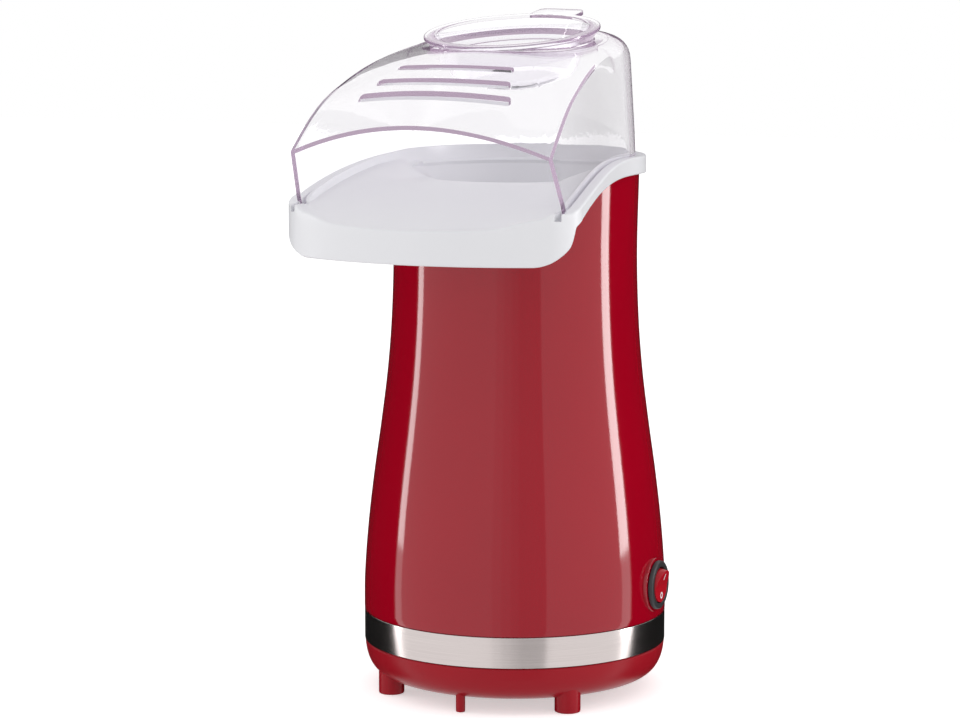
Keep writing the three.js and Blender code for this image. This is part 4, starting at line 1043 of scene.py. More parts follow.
@dataclass(frozen=True)
class SteelBand:
    """Brushed strip wrapped round the foot of the body."""

    edge: float = 0.25

    def build(self) -> bpy.types.Object:
        """The finished band.

        Returns:
            The piece.
        """
        inner, outer = SIZES.body_radius - SIZES.band_thickness, SIZES.body_radius
        low, high = SIZES.band_bottom, SIZES.band_top
        corners = [(inner, low), (outer, low), (outer, high), (inner, high)]
        profile = rounded(corners, [0, self.edge, self.edge, 0], 3)
        item = new_object(turned("steel_band_strip", profile, 192))
        return finish_piece(item, STEEL_BRUSHED, "steel", Body.MACHINE, "steel_band")


# ---------------------------------------------------------------- chute


@dataclass
class PopcornChute:
    """White moulding: collar round the body, flared sides with the hood's groove, open front lip.

    Its sections stand square to a plan outline, each with an outer and an inner plan point.
    """

    corner: float = 9.0
    skirt_corner: float = 16.0
    skirt_end: float = 12.0
    edge_blend: float = 1.6
    edge_ease: float = 0.5
    floor_lip: float = 222.5
    floor_crest: float = 238.0
    back_drop: float = 6.0
    ledge_drop: float = 2.0
    lip_round: float = 1.3
    rim_round: float = 1.0
    rim_width: float = 2.6
    wall_ramp: Flat = (0.8, 2.6)
    ramp_start: float = 92.0
    ramp_length: float = 6.0
    groove_outer: float = 5.15
    groove_inner: float = 7.85
    upstand_inner: float = 9.45
    upstand_rise: float = 1.4
    upstand_foot: float = 0.7
    groove_end: float = 94.6
    groove_fade: float = 0.9
    upstand_fade: float = 9.0
    upstand_end: float = 92.6
    inner_back: float = 51.05
    inner_half: float = 59.85
    trough_half: float = 51.0
    flare_past: float = 1.0
    trough_slope: Flat = (20.0, 24.0)
    throat: float = 44.5
    throat_low: float = 206.7
    funnel: float = 34.0
    funnel_low: float = 221.0
    funnel_lead: float = 2.0
    funnel_round: Flat = (5.0, 9.0)
    funnel_edge: Flat = (0.5, 1.0)
    throat_edge: Flat = (0.3, 1.0)
    throat_split: float = 6.0
    front_fade: Flat = (-2.0, -0.8)
    back_fade: Flat = (30.0, 42.0)
    back_slope: float = 1.3
    trough_shares: tuple[float, ...] = (
        0.008, 0.02, 0.035, 0.05, 0.07, 0.1, 0.13, 0.17, 0.21, 0.26, 0.32, 0.38,
        0.45, 0.52, 0.6, 0.68, 0.76, 0.84, 0.92, 1.0,
    )
    slot_depth: float = 3.2
    slot_back: float = 1.5
    slot_top: float = 5.0
    front_steps: int = 30
    corner_steps: int = 22
    side_steps: int = 60
    back_steps: int = 40
    bow_radius: float = field(init=False)

    def __post_init__(self) -> None:
        """Radius of the bowed front, from its reach and width."""
        bow = SIZES.reach - SIZES.side_end
        self.bow_radius = (SIZES.half_width ** 2 + bow ** 2) / (2 * bow)

    def front(self, x: float) -> float:
        """The bowed front's y at x."""
        return -SIZES.reach + self.bow_radius - math.sqrt(self.bow_radius ** 2 - x * x)

    def right_outline(self) -> list[tuple[Flat, Flat]]:
        """Plan of the right half, from the middle of the front round to the middle of the back.

        Returns:
            (outer, inner) plan points.
        """
        half, depth = SIZES.half_width, self.upstand_inner
        start = half - self.corner
        slope = start / math.sqrt(self.bow_radius ** 2 - start ** 2)
        y0 = self.front(start)
        side_end = y0 + (slope + 1) * self.corner
        scale = self.inner_half / half
        pairs = []
        for x in spread(0, start, self.front_steps)[:-1]:
            pairs.append(((x, self.front(x)), (x * scale, self.front(x) + depth)))
        ends = Vector((start, y0)), Vector((half, y0 + slope * self.corner)), Vector((half, side_end))
        steps = self.corner_steps
        for t, (x, y) in list(zip(spread(0, 1, steps), bent(*ends, steps)))[:-1]:
            pairs.append(((x, y), (x * scale, y + depth * (1 - smooth(t)))))
        for y in spread(side_end, 0, self.side_steps)[:-1]:
            outer = SIZES.side(y, SIZES.collar_radius, half)
            pairs.append(((outer, y), (SIZES.side(y, self.inner_back, self.inner_half), y)))
        for angle in spread(0, math.pi / 2, self.back_steps):
            pairs.append((polar(SIZES.collar_radius, angle), polar(self.inner_back, angle)))
        return pairs

    def inside(self, x: float, y: float) -> float:
        """How far a plan point lies inside the inner wall.

        Args:
            x: plan point's x.
            y: plan point's y.

        Returns:
            The distance, below 0 outside.
        """
        if y > 0:
            return self.inner_back - math.hypot(x, y)
        return SIZES.side(y, self.inner_back, self.inner_half) - abs(x)

    def ground(self, x: float, y: float) -> float:
        """Height of the trough, its sides and the ledge beside it.

        Args:
            x: plan point's x.
            y: plan point's y.

        Returns:
            The height there.
        """
        run = (-y - self.inner_back) / (SIZES.reach - self.inner_back)
        floor = lerp(self.floor_crest, self.floor_lip, clamp(run))
        ledge = max(SIZES.rim(y) - self.ledge_drop, floor + self.ledge_drop)
        flare = smooth((-y - self.trough_half) / (SIZES.side_end - self.trough_half))
        half = lerp(self.trough_half, self.inner_half + self.flare_past, flare)
        slope = lerp(*self.trough_slope, flare)
        if y > 0:
            gap = math.hypot(x, y) - self.funnel
            back = self.floor_crest - self.back_drop
            return lerp(back, ledge, smooth(gap / (self.inner_back - self.funnel)))
        return lerp(floor, ledge, smooth((abs(x) - half + slope) / slope))

    def top(self, place: Flat, height: float) -> float:
        """Height of the top surface: the wall's, or the trough's inside it.

        Args:
            place: plan point.
            height: the wall's own height.

        Returns:
            The height there.
        """
        ramp = lerp(*self.wall_ramp, smooth((-place[1] - self.ramp_start) / self.ramp_length))
        return lerp(self.ground(*place), height, smooth(1 - self.inside(*place) / ramp))

    def lower_edge(self, x: float, y: float) -> float:
        """Lower edge of collar and skirt, which meet in a soft corner.

        Args:
            x: plan point's x.
            y: plan point's y.

        Returns:
            The height there.
        """
        side, radius, blend = SIZES.collar(y), self.skirt_corner, self.edge_blend
        over = max(abs(x) - (SIZES.half_width - radius), 0.0)
        rise = radius - math.sqrt(max(radius ** 2 - over ** 2, 0.0))
        front = SIZES.skirt_low + rise + 2 * radius * smooth((y + SIZES.side_end) / self.skirt_end)
        gap = clamp(0.5 + 0.5 * (side - front) / blend)
        return lerp(side, front, gap) - blend * gap * (1 - gap)

    def under(self, x: float, y: float) -> float:
        """Underside over the body's wall.

        Args:
            x: plan point's x.
            y: plan point's y.

        Returns:
            The height there.
        """
        if self.inside(x, y) > 0:
            return self.ground(x, y) - SIZES.wall
        return SIZES.collar(y)

    def rim_steps(self) -> list[Flat]:
        """Rim, groove and upstand, from outside in.

        The small offsets ease the edges; places between them only split what is flat.

        Returns:
            (distance from the outline, height over the rim) pairs.
        """
        outer, inner = self.groove_outer, self.groove_inner
        deep, rise = -SIZES.groove_depth, self.upstand_rise
        return [
            (2.6, 0.0), (3.6, 0.0), (4.3, 0.0), (outer - 0.35, 0.0), (outer - 0.1, 0.1 * deep),
            (outer, 0.2 * deep), (outer + 0.02, deep), (5.9, deep), (6.5, deep), (7.1, deep),
            (inner - 0.02, deep), (inner, 0.8), (inner + 0.15, 1.25), (inner + 0.5, rise), (8.7, rise),
            (self.upstand_inner - 0.45, rise), (self.upstand_inner - 0.12, 1.2),
            (self.upstand_inner, self.upstand_foot),
        ]

    def section(self, outer: Flat, inner: Flat) -> list[Point]:
        """Closed section of the moulding at one place of its outline.

        Args:
            outer: plan point of the outline.
            inner: plan point of the inner wall.

        Returns:
            The section, from the skirt's foot up, over and back under.
        """
        rim = SIZES.rim(outer[1])
        low = self.lower_edge(*outer)

        def at(distance: float) -> Flat:
            """Plan point that far in from the outline."""
            t = distance / self.upstand_inner
            return lerp(outer[0], inner[0], t), lerp(outer[1], inner[1], t)

        crest = self.top(outer, rim)
        ease = lerp(self.lip_round, self.rim_round, smooth(1 - self.inside(*outer) / self.rim_width))
        points: list[Point] = [(*outer, low + self.edge_ease)]
        points += [(*outer, lerp(low, crest, share)) for share in (0.25, 0.5, 0.75)]
        for angle in spread(0, math.pi / 2, 5):
            place = at(ease * (1 - math.cos(angle)))
            points.append((*place, crest - ease * (1 - math.sin(angle))))
        for distance, offset in self.rim_steps():
            place = at(distance)
            fade = clamp((place[1] + self.groove_end) / self.groove_fade)
            rise = smooth((place[1] + self.upstand_end) / self.upstand_fade)
            points.append((*place, self.top(place, rim + offset * (fade if offset < 0 else rise))))
        points += self.basin(inner, rim)
        points += self.underside(outer, inner, low, rim)
        return points

    def basin(self, inner: Flat, rim: float) -> list[Point]:
        """From the inner wall over the trough to the throat and down into it.

        Args:
            inner: plan point of the inner wall.
            rim: the rim's height.

        Returns:
            The points; behind the throat they follow one even slope.
        """
        reach = math.hypot(*inner)
        turn = (inner[0] / reach, inner[1] / reach)
        back = smooth((turn[1] * self.throat + self.back_fade[0]) / self.back_fade[1])
        ease = lerp(*self.funnel_round, smooth(self.front_fade[0] * turn[1] + self.front_fade[1]))
        mouth = (turn[0] * (self.funnel + ease), turn[1] * (self.funnel + ease))
        foot = rim + self.upstand_foot
        front: list[Point] = []
        for share in self.trough_shares:
            place = (lerp(inner[0], mouth[0], share), lerp(inner[1], mouth[1], share))
            front.append((*place, self.top(place, foot)))
        crest = front[-1][2]
        for angle in spread(0, math.pi / 2, 7)[1:]:
            radius = self.funnel + ease * (1 - math.sin(angle))
            front.append((turn[0] * radius, turn[1] * radius, crest - ease * (1 - math.cos(angle))))
        points: list[Point] = []
        lead = self.funnel_low + self.funnel_lead
        for i, place in enumerate(front):
            share = (i + 1) / len(front)
            radius = lerp(reach, self.funnel, share ** self.back_slope)
            slope = (turn[0] * radius, turn[1] * radius, lerp(foot, lead, share))
            points.append(tuple(lerp(a, b, back) for a, b in zip(place, slope)))
        low, (out, down), (back_in, further) = self.funnel_low, self.funnel_edge, self.throat_edge
        for radius, level in (
            (self.funnel, low), (self.funnel + out, low - down), (self.throat - back_in, low - down),
            (self.throat, low - down - further), (self.throat, self.throat_low),
        ):
            points.append((turn[0] * radius, turn[1] * radius, level))
        return points

    def underside(self, outer: Flat, inner: Flat, low: float, rim: float) -> list[Point]:
        """From the throat's foot back under the trough to the skirt's lower edge.

        Args:
            outer: plan point of the outline.
            inner: plan point of the inner wall.
            low: the lower edge's height.
            rim: the rim's height.

        Returns:
            The points.
        """
        share = (self.throat + SIZES.wall) / math.hypot(*inner)
        start = (inner[0] * share, inner[1] * share)
        points: list[Point] = [(*start, self.throat_low), (*start, self.throat_low + self.throat_split)]
        for share in spread(0, 1, 8)[1:]:
            place = (lerp(start[0], inner[0], share), lerp(start[1], inner[1], share))
            level = self.ground(*place) - SIZES.wall
            if self.inside(*place) < 3 and self.inside(*outer) < 1:
                level = max(level, low)
            points.append((*place, level))
        roof = max(low, min(rim - SIZES.groove_depth, self.ground(*inner)) - SIZES.wall)
        near = SIZES.wall / self.upstand_inner
        for share, level in ((near, roof), (near, low), (0.05, low)):
            points.append((lerp(outer[0], inner[0], share), lerp(outer[1], inner[1], share), level))
        return points

    def slot(self, side: int) -> bpy.types.Mesh:
        """Cutter that opens the groove through the lip, where the hood's corner slides in.

        Args:
            side: 1 for the right, -1 for the left.

        Returns:
            The cutter.
        """
        gaps = (self.groove_outer, self.groove_inner)
        low, high = sorted(side * (SIZES.half_width - gap) for gap in gaps)
        near, far = -SIZES.reach, -self.groove_end + self.slot_back
        outline = [(low, near), (high, near), (high, far), (low, far)]
        return prism("slot", outline, SIZES.rim_low - self.slot_depth, SIZES.rim_low + self.slot_top)

    def build(self) -> bpy.types.Object:
        """The finished chute.

        Returns:
            The piece.
        """
        right = [self.section(outer, inner) for outer, inner in self.right_outline()]
        item = new_object(raw_mesh("popcorn_chute_moulding", *loop_grid(right + mirrored(right[1:-1]))))
        carve(item, Carve.CUT, *[self.slot(side) for side in (-1, 1)])
        return finish_piece(item, WHITE_SATIN, "white", Body.CHUTE, "popcorn_chute", angle=38)


CHUTE = PopcornChute()


# ---------------------------------------------------------------- body


@dataclass(frozen=True)
class BodyShell:
    """Glossy red body: flared foot, narrow waist, top edge under the chute's collar."""

    facets: int = 220
    rows: int = 70
    inner_rows: int = 24
    foot_rise: float = 0.7
    foot_lip: Flat = (0.45, 0.12)
    edge: float = 0.3
    pad_radius: float = 12.4
    pad_reach: float = 70.5
    pad_root: float = 66.5
    pad_round: float = 0.5
    switch_hole: float = 10.25
    cord_hole: float = 5.35
    hole_reach: Flat = (55.0, 80.0)
    outer_start: float = 0.5
    inner_start: float = 1.0
    inner_end: float = 4.0

    def top(self, angle: float) -> float:
        """Height of the top edge, under the collar and the trough.

        Args:
            angle: place round the body, in radians.

        Returns:
            The height, found in a few rounds because the radius changes with it.
        """
        level = SIZES.collar_high - SIZES.seat_gap
        for _ in range(4):
            radius = SIZES.body(level)
            x, y = polar(radius, angle)
            level = SIZES.collar(y)
            if y < 0:
                inner = (radius - SIZES.wall) / radius
                level = min(level, CHUTE.under(x, y), CHUTE.under(x * inner, y * inner))
            level -= SIZES.seat_gap
        return level

    def column(self, angle: float) -> list[Point]:
        """Closed section of the wall.

        Args:
            angle: place round the body, in radians.

        Returns:
            The section, up the outside and down the inside.
        """
        top, wall = self.top(angle), SIZES.wall
        foot, low = SIZES.band_top + SIZES.seat_gap, SIZES.pan_top + self.foot_rise
        seat = SIZES.body_radius - SIZES.band_thickness - SIZES.seat_gap
        flat = [
            (seat - wall, low), (seat, low), (seat, foot),
            (SIZES.body(foot) - self.foot_lip[0], foot),
            (SIZES.body(foot) - self.foot_lip[1], foot + self.foot_lip[1]),
        ]
        outside = spread(foot + self.outer_start, top - self.edge, self.rows)
        inside = spread(top - self.inner_start, foot + self.inner_end, self.inner_rows)
        flat += [(SIZES.body(z), z) for z in outside]
        flat += [(SIZES.body(top) - self.edge, top), (SIZES.body(top) - wall, top)]
        flat += [(SIZES.body(z) - wall, z) for z in inside]
        flat.append((seat - wall, foot))
        return [(*polar(radius, angle), z) for radius, z in flat]

    def build(self) -> bpy.types.Object:
        """The finished body shell.

        Returns:
            The piece.
        """
        columns = [self.column(2 * math.pi * i / self.facets) for i in range(self.facets)]
        item = new_object(raw_mesh("body_shell_moulding", *loop_grid(columns)))
        at_switch, at_cord = (outwards(SIZES.switch_height, angle) for angle in (0, 90))
        near, far, radius = self.pad_root, self.pad_reach, self.pad_radius
        pad = rounded([(0, near), (radius, near), (radius, far), (0, far)], [0, 0, self.pad_round, 0], 4)
        carve(item, Carve.ADD, turned("switch_pad", pad, 72, at_switch))
        near, far = self.hole_reach
        for radius, facets, lay in ((self.switch_hole, 64, at_switch), (self.cord_hole, 48, at_cord)):
            bore = [(0, near), (radius, near), (radius, far), (0, far)]
            carve(item, Carve.CUT, turned("bore", bore, facets, lay))
        return finish_piece(item, RED_GLOSS, "red", Body.MACHINE, "body_shell", angle=30)


# ---------------------------------------------------------------- cup and hood


@dataclass(frozen=True)
class CupSeat:
    """The tilted frame that the measuring cup and the hood's collar share."""

    tilt: float = math.radians(9.5)
    place: Point = (0.0, -4.2, 304.7)
    rim_radius: float = 40.3
    rim_thickness: float = 1.8
    top_radius: float = 36.9
    bottom_radius: float = 26.5
    depth: float = 23.0

    def frame(self) -> Matrix:
        """From the cup's own frame, rim plane at 0, to the machine's."""
        return Matrix.Translation(self.place) @ Matrix.Rotation(self.tilt, 4, "X")

    def radius(self, depth: float) -> float:
        """Radius of the cup's outside at a depth under its rim."""
        taper = (self.top_radius - self.bottom_radius) / (self.depth - self.rim_thickness)
        return self.top_radius - taper * (depth - self.rim_thickness)

    def point(self, radius: float, angle: float, depth: float) -> Vector:
        """Machine place of a point given round the cup's axis."""
        return self.frame() @ Vector((*polar(radius, angle), -depth))

    def angle(self, place: Point) -> float:
        """Plan angle of a place about the cup."""
        return math.atan2(place[1] - self.place[1], place[0])


SEAT = CupSeat()


@dataclass(frozen=True)
class MeasuringCup:
    """Clear cup that closes the hood, with a flat rim and a lifting tab."""

    wall: float = 1.7
    lip_slope: float = 0.3
    round_reach: float = 7.0
    rim_rounds: Point = (0.4, 0.7, 0.8)
    tab_width: float = 24.0
    tab_length: float = 10.5
    tab_root: float = 1.6
    tab_corner: float = 5.0
    tab_rise: float = 0.5
    tab_turn: float = 6.5

    def build(self) -> bpy.types.Object:
        """The finished cup.

        Returns:
            The piece.
        """
        depth, wall, under = SEAT.depth, self.wall, -SEAT.rim_thickness
        lip = SEAT.top_radius - wall + self.lip_slope
        root, edge, mouth = self.rim_rounds
        profile = rounded(
            [
                (0, -depth), (SEAT.bottom_radius, -depth), (SEAT.top_radius, under),
                (SEAT.rim_radius, under), (SEAT.rim_radius, 0), (lip, 0),
                (SEAT.bottom_radius - wall, wall - depth), (0, wall - depth),
            ],
            [0, self.round_reach, root, edge, edge, mouth, self.round_reach - wall, 0], 8,
        )
        item = new_object(turned("measuring_cup_moulding", profile, 144, SEAT.frame()))
        carve(item, Carve.ADD, self.tab())
        return finish_piece(item, CLEAR_SAN, "clear", Body.CUP, "measuring_cup", angle=35)

    def tab(self) -> bpy.types.Mesh:
        """Lifting tab at the back of the rim, its corners rounded, rising a little to its tip.

        Returns:
            The tab.
        """
        root, half = SEAT.rim_radius - self.tab_root, self.tab_width / 2
        tip = SEAT.rim_radius + self.tab_length - self.tab_root
        corners = [(-half, root), (half, root), (half, tip), (-half, tip)]
        plan = rounded(corners, [0, 0, self.tab_corner, self.tab_corner], 8)
        lay = SEAT.frame() @ Matrix.Rotation(-math.radians(self.tab_turn), 4, "Z")
        points = []
        for level in (-SEAT.rim_thickness, 0.0):
            for x, y in plan:
                rise = (y - root) / self.tab_length * self.tab_rise
                points.append(lay @ Vector((x, y, level + rise)))
        return capped("cup_tab", points)


@dataclass
class ClearHood:
    """Clear hood: drafted walls, crowned roof with vents, leaning mouth and the cup's seat.

    Each wall is drawn twice, at inset 0 for its outside and at the wall's thickness for its inside.
    """

    back: float = 55.0
    half: float = 63.8
    top_back: float = 52.5
    top_half: float = 58.2
    foot_rise: float = 2.4
    shoulder: float = 292.0
    shoulder_round: float = 13.0
    crease_round: float = 0.5
    round_fade: Flat = (46.0, 55.0)
    ridge_stations: tuple[Flat, ...] = (
        (-124, 253), (-110, 266.6), (-90, 281.4), (-65, 292.2), (-35, 298), (0, 301.5), (60, 306.5),
    )
    eave_stations: tuple[Flat, ...] = (
        (-124, 235), (-106, 253.4), (-82, 272), (-60, 281.4), (-35, 289), (0, 296.5), (60, 304),
    )
    crown_half: float = 60.0
    mouth_low: Flat = (-91.5, 225.0)
    mouth_high: Flat = (-104.0, 252.9)
    side_steps: int = 52
    side_crowding: float = 0.35
    back_steps: int = 40
    front_steps: int = 34
    wall_steps: int = 16
    round_steps: int = 10
    roof_steps: int = 26
    crease_rounds: int = 12
    end_rounds: int = 10
    front_rounds: int = 30
    front_pull: float = 0.7
    first_depth: float = 3.0
    ring_depth: float = 9.0
    ring_wall: float = 1.8
    ring_ease: float = 0.25
    ring_flare: float = 0.7
    ring_slope: float = 0.15
    ring_lift: float = 0.5
    ring_edge: float = 0.2
    ring_root: float = 1.5
    rim_room: float = 41.0
    vent_width: float = 3.4
    vent_bow: float = 4.5
    vents: tuple[Flat, ...] = ((-88.6, 71.6), (-79.0, 63.0), (-66.0, 55.0))
    vent_cut: Flat = (255.0, 310.0)
    longest_round: float = 0.8
    shortest_round: float = 0.25
    insets: Flat = (0.0, SIZES.hood_wall)

    def __post_init__(self) -> None:
        """Works out the roof's two lines once."""
        self.ridge = through(self.ridge_stations)
        self.eaves = through(self.eave_stations)

    def roof(self, x: float, y: float, inset: float) -> float:
        """Height of the roof.

        Args:
            x: plan point's x.
            y: plan point's y.
            inset: how far under the roof's outside.

        Returns:
            The height there.
        """
        ridge = self.ridge(y)
        slope = (self.ridge(y + 1) - self.ridge(y - 1)) / 2
        return ridge - (ridge - self.eaves(y)) * (x / self.crown_half) ** 2 - inset * math.hypot(1, slope)

    def mouth(self, z: float) -> float:
        """The mouth plane's y at a height."""
        (low_y, low_z), (high_y, high_z) = self.mouth_low, self.mouth_high
        return low_y + (z - low_z) * (high_y - low_y) / (high_z - low_z)

    def drafted(self, z: float, foot: float, inset: float) -> Flat:
        """Radius of the back and half width of the sides, which draw in with height."""
        draft = clamp((z - foot) / (self.shoulder - foot))
        return lerp(self.back, self.top_back, draft) - inset, lerp(self.half, self.top_half, draft) - inset

    def wall_half(self, y: float, z: float, inset: float) -> float:
        """Half width of the drafted wall at a place."""
        return SIZES.side(y, *self.drafted(z, SIZES.rim(y) + self.foot_rise, inset))

    def foot(self, y: float) -> float:
        """Lower edge of the hood in its groove."""
        return SIZES.rim(y) - SIZES.groove_depth + SIZES.seat_gap

    def crease(self, y: float, inset: float) -> Point:
        """Where the side wall meets the roof.

        Args:
            y: the place along the side.
            inset: how far inside the wall's outside.

        Returns:
            The place.
        """
        z = self.roof(self.top_half, y, inset)
        for _ in range(self.crease_rounds):
            z = self.roof(self.wall_half(y, z, inset), y, inset)
        return self.wall_half(y, z, inset), y, z

    def side_wall(self, share: float, inset: float) -> list[Point]:
        """Points of the side wall, from the foot to the crease.

        Args:
            share: 0 at the side's back and 1 at the mouth.
            inset: how far inside the wall's outside.

        Returns:
            The points.
        """
        low_y = share * self.mouth(self.foot(self.mouth(SIZES.rim_low)))
        high_end = self.mouth_high[0]
        for _ in range(self.crease_rounds):
            high_end = self.mouth(self.crease(high_end, inset)[2])
        high_y = share * high_end
        high, foot = self.crease(high_y, inset)[2], self.foot(low_y)
        points = []
        for t in spread(0, 1, self.wall_steps):
            y, z = lerp(low_y, high_y, t), lerp(foot, high, t)
            points.append((self.wall_half(y, z, inset), y, z))
        return points

    def back_wall(self, angle: float, inset: float) -> list[Point]:
        """Points of the round back, from the foot to where wall and roof would meet.

        Args:
            angle: place round the back, in radians.
            inset: how far inside the wall's outside.

        Returns:
            The points.
        """
        top = self.roof(*polar(self.top_back - inset, angle), inset)
        points = []
        for z in spread(self.foot(0), top, self.wall_steps):
            reach = self.drafted(z, SIZES.rim_high + self.foot_rise, inset)[0]
            points.append((*polar(reach, angle), z))
        return points

    def roof_end(self, angle: float, inset: float) -> Point:
        """Where the roof meets the room round the cup's rim.

        Args:
            angle: place round the cup, in radians.
            inset: how far under the roof's outside.

        Returns:
            The place.
        """
        depth = self.first_depth
        for _ in range(self.end_rounds):
            p = SEAT.point(self.rim_room, angle, depth)
            depth += (p.z - self.roof(p.x, p.y, inset)) / math.cos(SEAT.tilt)
        return tuple(SEAT.point(self.rim_room, angle, depth))

    def roof_rows(self, start: Point, angle: float, inset: float) -> list[Point]:
        """Roof points from its edge to the cup's opening.

        Args:
            start: the edge's place.
            angle: place round the cup where they end, in radians.
            inset: how far under the roof's outside.

        Returns:
            The points.
        """
        end = self.roof_end(angle, inset)
        points = []
        for t in spread(0, 1, self.roof_steps):
            x, y = lerp(start[0], end[0], t), lerp(start[1], end[1], t)
            points.append((x, y, self.roof(x, y, inset)))
        return points

    def seat_rows(self, angle: float) -> list[Point]:
        """Collar round the opening: out of the roof, over its edge, down inside, up under the roof.

        Args:
            angle: place round the cup, in radians.

        Returns:
            The points.
        """
        top = SEAT.rim_thickness + SIZES.seat_gap
        bottom = top + self.ring_depth
        back = SEAT.frame().inverted()
        over, under = (-(back @ Vector(self.roof_end(angle, inset))).z for inset in self.insets)
        over = max(over, top)
        under = max(under, over + self.ring_root)
        near, ease = SIZES.seat_gap, self.ring_ease
        far = near + self.ring_wall
        slope, lift = far + self.ring_slope, self.ring_lift
        rows = [
            (over, far + self.ring_flare, over), (over, slope, max(over - lift, top)),
            (top, far, top + self.ring_edge), (top, far - ease, top),
            (top, near + ease, top), (top, near, top + ease),
            (bottom, near, bottom - ease), (bottom, near + ease, bottom),
            (bottom, far - ease, bottom), (bottom, far, bottom - ease), (under, slope, under + lift),
        ]
        return [tuple(SEAT.point(SEAT.radius(at) + gap, angle, depth)) for at, gap, depth in rows]

    def turn_over(
        self,
        wall: list[Point],
        roof: list[Point],
        reach: float,
    ) -> tuple[list[Point], list[Point]]:
        """Rounds the corner between wall and roof.

        Args:
            wall: points from the foot up to the corner.
            roof: points from the corner to the opening.
            reach: how far the round reaches along both.

        Returns:
            (wall without the corner plus the round, roof from the round's end).
        """
        corner = Vector(wall[-1])
        down = (Vector(wall[-2]) - corner).normalized()
        inward = (Vector(roof[1]) - corner).normalized()
        reach = min(reach, (Vector(roof[-1]) - corner).length * self.longest_round)
        start, end = corner + down * reach, corner + inward * reach
        height = max(start.z, wall[0][2] + 1)
        kept = []
        for goal in spread(wall[0][2], height, len(wall) - 1):
            k = next((n for n in range(1, len(wall)) if wall[n][2] >= goal), len(wall) - 1)
            a, b = Vector(wall[k - 1]), Vector(wall[k])
            kept.append(a.lerp(b, clamp((goal - a.z) / max(b.z - a.z, 1e-9))))
        kept += bent(start, corner, end, self.round_steps)[1:]
        last = len(roof) - 1
        skip = (end.xy - corner.xy).length / (Vector(roof[-1]).xy - corner.xy).length
        rest = []
        for t in spread(0, 1, last)[1:]:
            s = lerp(skip, 1, t) * last
            k = min(int(s), last - 1)
            rest.append(tuple(Vector(roof[k]).lerp(Vector(roof[k + 1]), s - k)))
        return [tuple(p) for p in kept], rest

    def walled(self, wall: Callable[[float], list[Point]], reach: float) -> list[Point]:
        """Closed section through wall, roof and collar.

        Args:
            wall: gives the wall's points at an inset.
            reach: how far the round between wall and roof reaches.

        Returns:
            The section, up the outside, round the collar and down the inside.
        """
        skins = []
        for inset in self.insets:
            side = wall(inset)
            angle = SEAT.angle(side[-1])
            roof = [side[-1], *self.roof_rows(side[-1], angle, inset)[1:]]
            skins.append((*self.turn_over(side, roof, max(reach - inset, self.shortest_round)), angle))
        (out_up, out_flat, angle), (in_up, in_flat, _) = skins
        return out_up + out_flat + self.seat_rows(angle) + in_flat[::-1] + in_up[::-1]

    def open_front(self, share: float) -> list[Point]:
        """Closed section through the roof over the mouth.

        Args:
            share: 1 at the corner and 0 in the middle.

        Returns:
            The section.
        """
        skins = []
        for inset in self.insets:
            x, y, _ = self.side_wall(1.0, inset)[-1]
            x *= share
            for _ in range(self.front_rounds):
                y = lerp(y, self.mouth(self.roof(x, y, inset)), self.front_pull)
            skins.append((x, y, self.roof(x, y, inset)))
        angle = SEAT.angle(skins[0])
        outer, inner = (self.roof_rows(skin, angle, inset) for skin, inset in zip(skins, self.insets))
        return outer + self.seat_rows(angle) + inner[::-1]

    def shell(self) -> bpy.types.Mesh:
        """The hood before its vents.

        Returns:
            The mesh: the walled part, closed at both mouth edges, and the roof over the mouth.
        """
        walled = []
        crowding = self.side_crowding
        for share in [1 - smooth(t) * crowding - (1 - crowding) * t for t in spread(0, 1, self.side_steps)]:
            near = (share * -self.mouth_high[0] - self.round_fade[0]) / -self.round_fade[1]
            reach = lerp(self.crease_round, self.shoulder_round, smooth(near))
            walled.append(self.walled(lambda inset, s=share: self.side_wall(s, inset), reach))
        for angle in spread(0, math.pi / 2, self.back_steps)[1:]:
            walled.append(self.walled(lambda inset, a=angle: self.back_wall(a, inset), self.shoulder_round))
        whole = walled + mirrored(walled[:-1])
        points, faces = loop_grid(whole, closed_round=False)
        count = len(walled[0])
        upright = self.wall_steps + self.round_steps + 1
        for base in (0, (len(whole) - 1) * count):
            for r in range(upright - 1):
                faces.append([base + r, base + r + 1, base + count - 2 - r, base + count - 1 - r])
        over = [self.open_front(share) for share in spread(1, 0, self.front_steps)]
        front = over + mirrored(over[:-1])
        more, sides = loop_grid(front, closed_round=False)
        edge = len(over[0])
        for i in range(edge):
            more[i] = whole[0][upright - 1 + i]
            more[(len(front) - 1) * edge + i] = whole[-1][upright - 1 + i]
        faces += [[i + len(points) for i in face] for face in sides]
        return raw_mesh("clear_hood_moulding", points + more, faces)

    def vent_cutter(self, y: float, length: float) -> bpy.types.Mesh:
        """Round-ended slot that bows forwards.

        Args:
            y: the slot's middle.
            length: its whole length.

        Returns:
            The cutter.
        """
        radius = self.vent_width / 2
        half = length / 2 - radius
        bend = (half ** 2 + self.vent_bow ** 2) / (2 * self.vent_bow)
        centre = y - self.vent_bow + bend
        reach = math.asin(half / bend)

        def edge(offset: float, angle: float) -> Flat:
            """Plan point of the slot's bow, moved out by an offset."""
            return (bend + offset) * math.sin(angle), centre - (bend + offset) * math.cos(angle)

        outline: list[Flat] = []
        for side in (1, -1):
            outline += [edge(side * radius, side * a) for a in spread(-reach, reach, 36)]
            middle = Vector(edge(0.0, side * reach))
            ahead = Vector((math.sin(side * reach), -math.cos(side * reach))) * side
            along = Vector((math.cos(side * reach), math.sin(side * reach))) * side
            for turn in spread(0, math.pi, 10)[1:-1]:
                outline.append(tuple(middle + (ahead * math.cos(turn) + along * math.sin(turn)) * radius))
        return prism("vent", outline, *self.vent_cut)

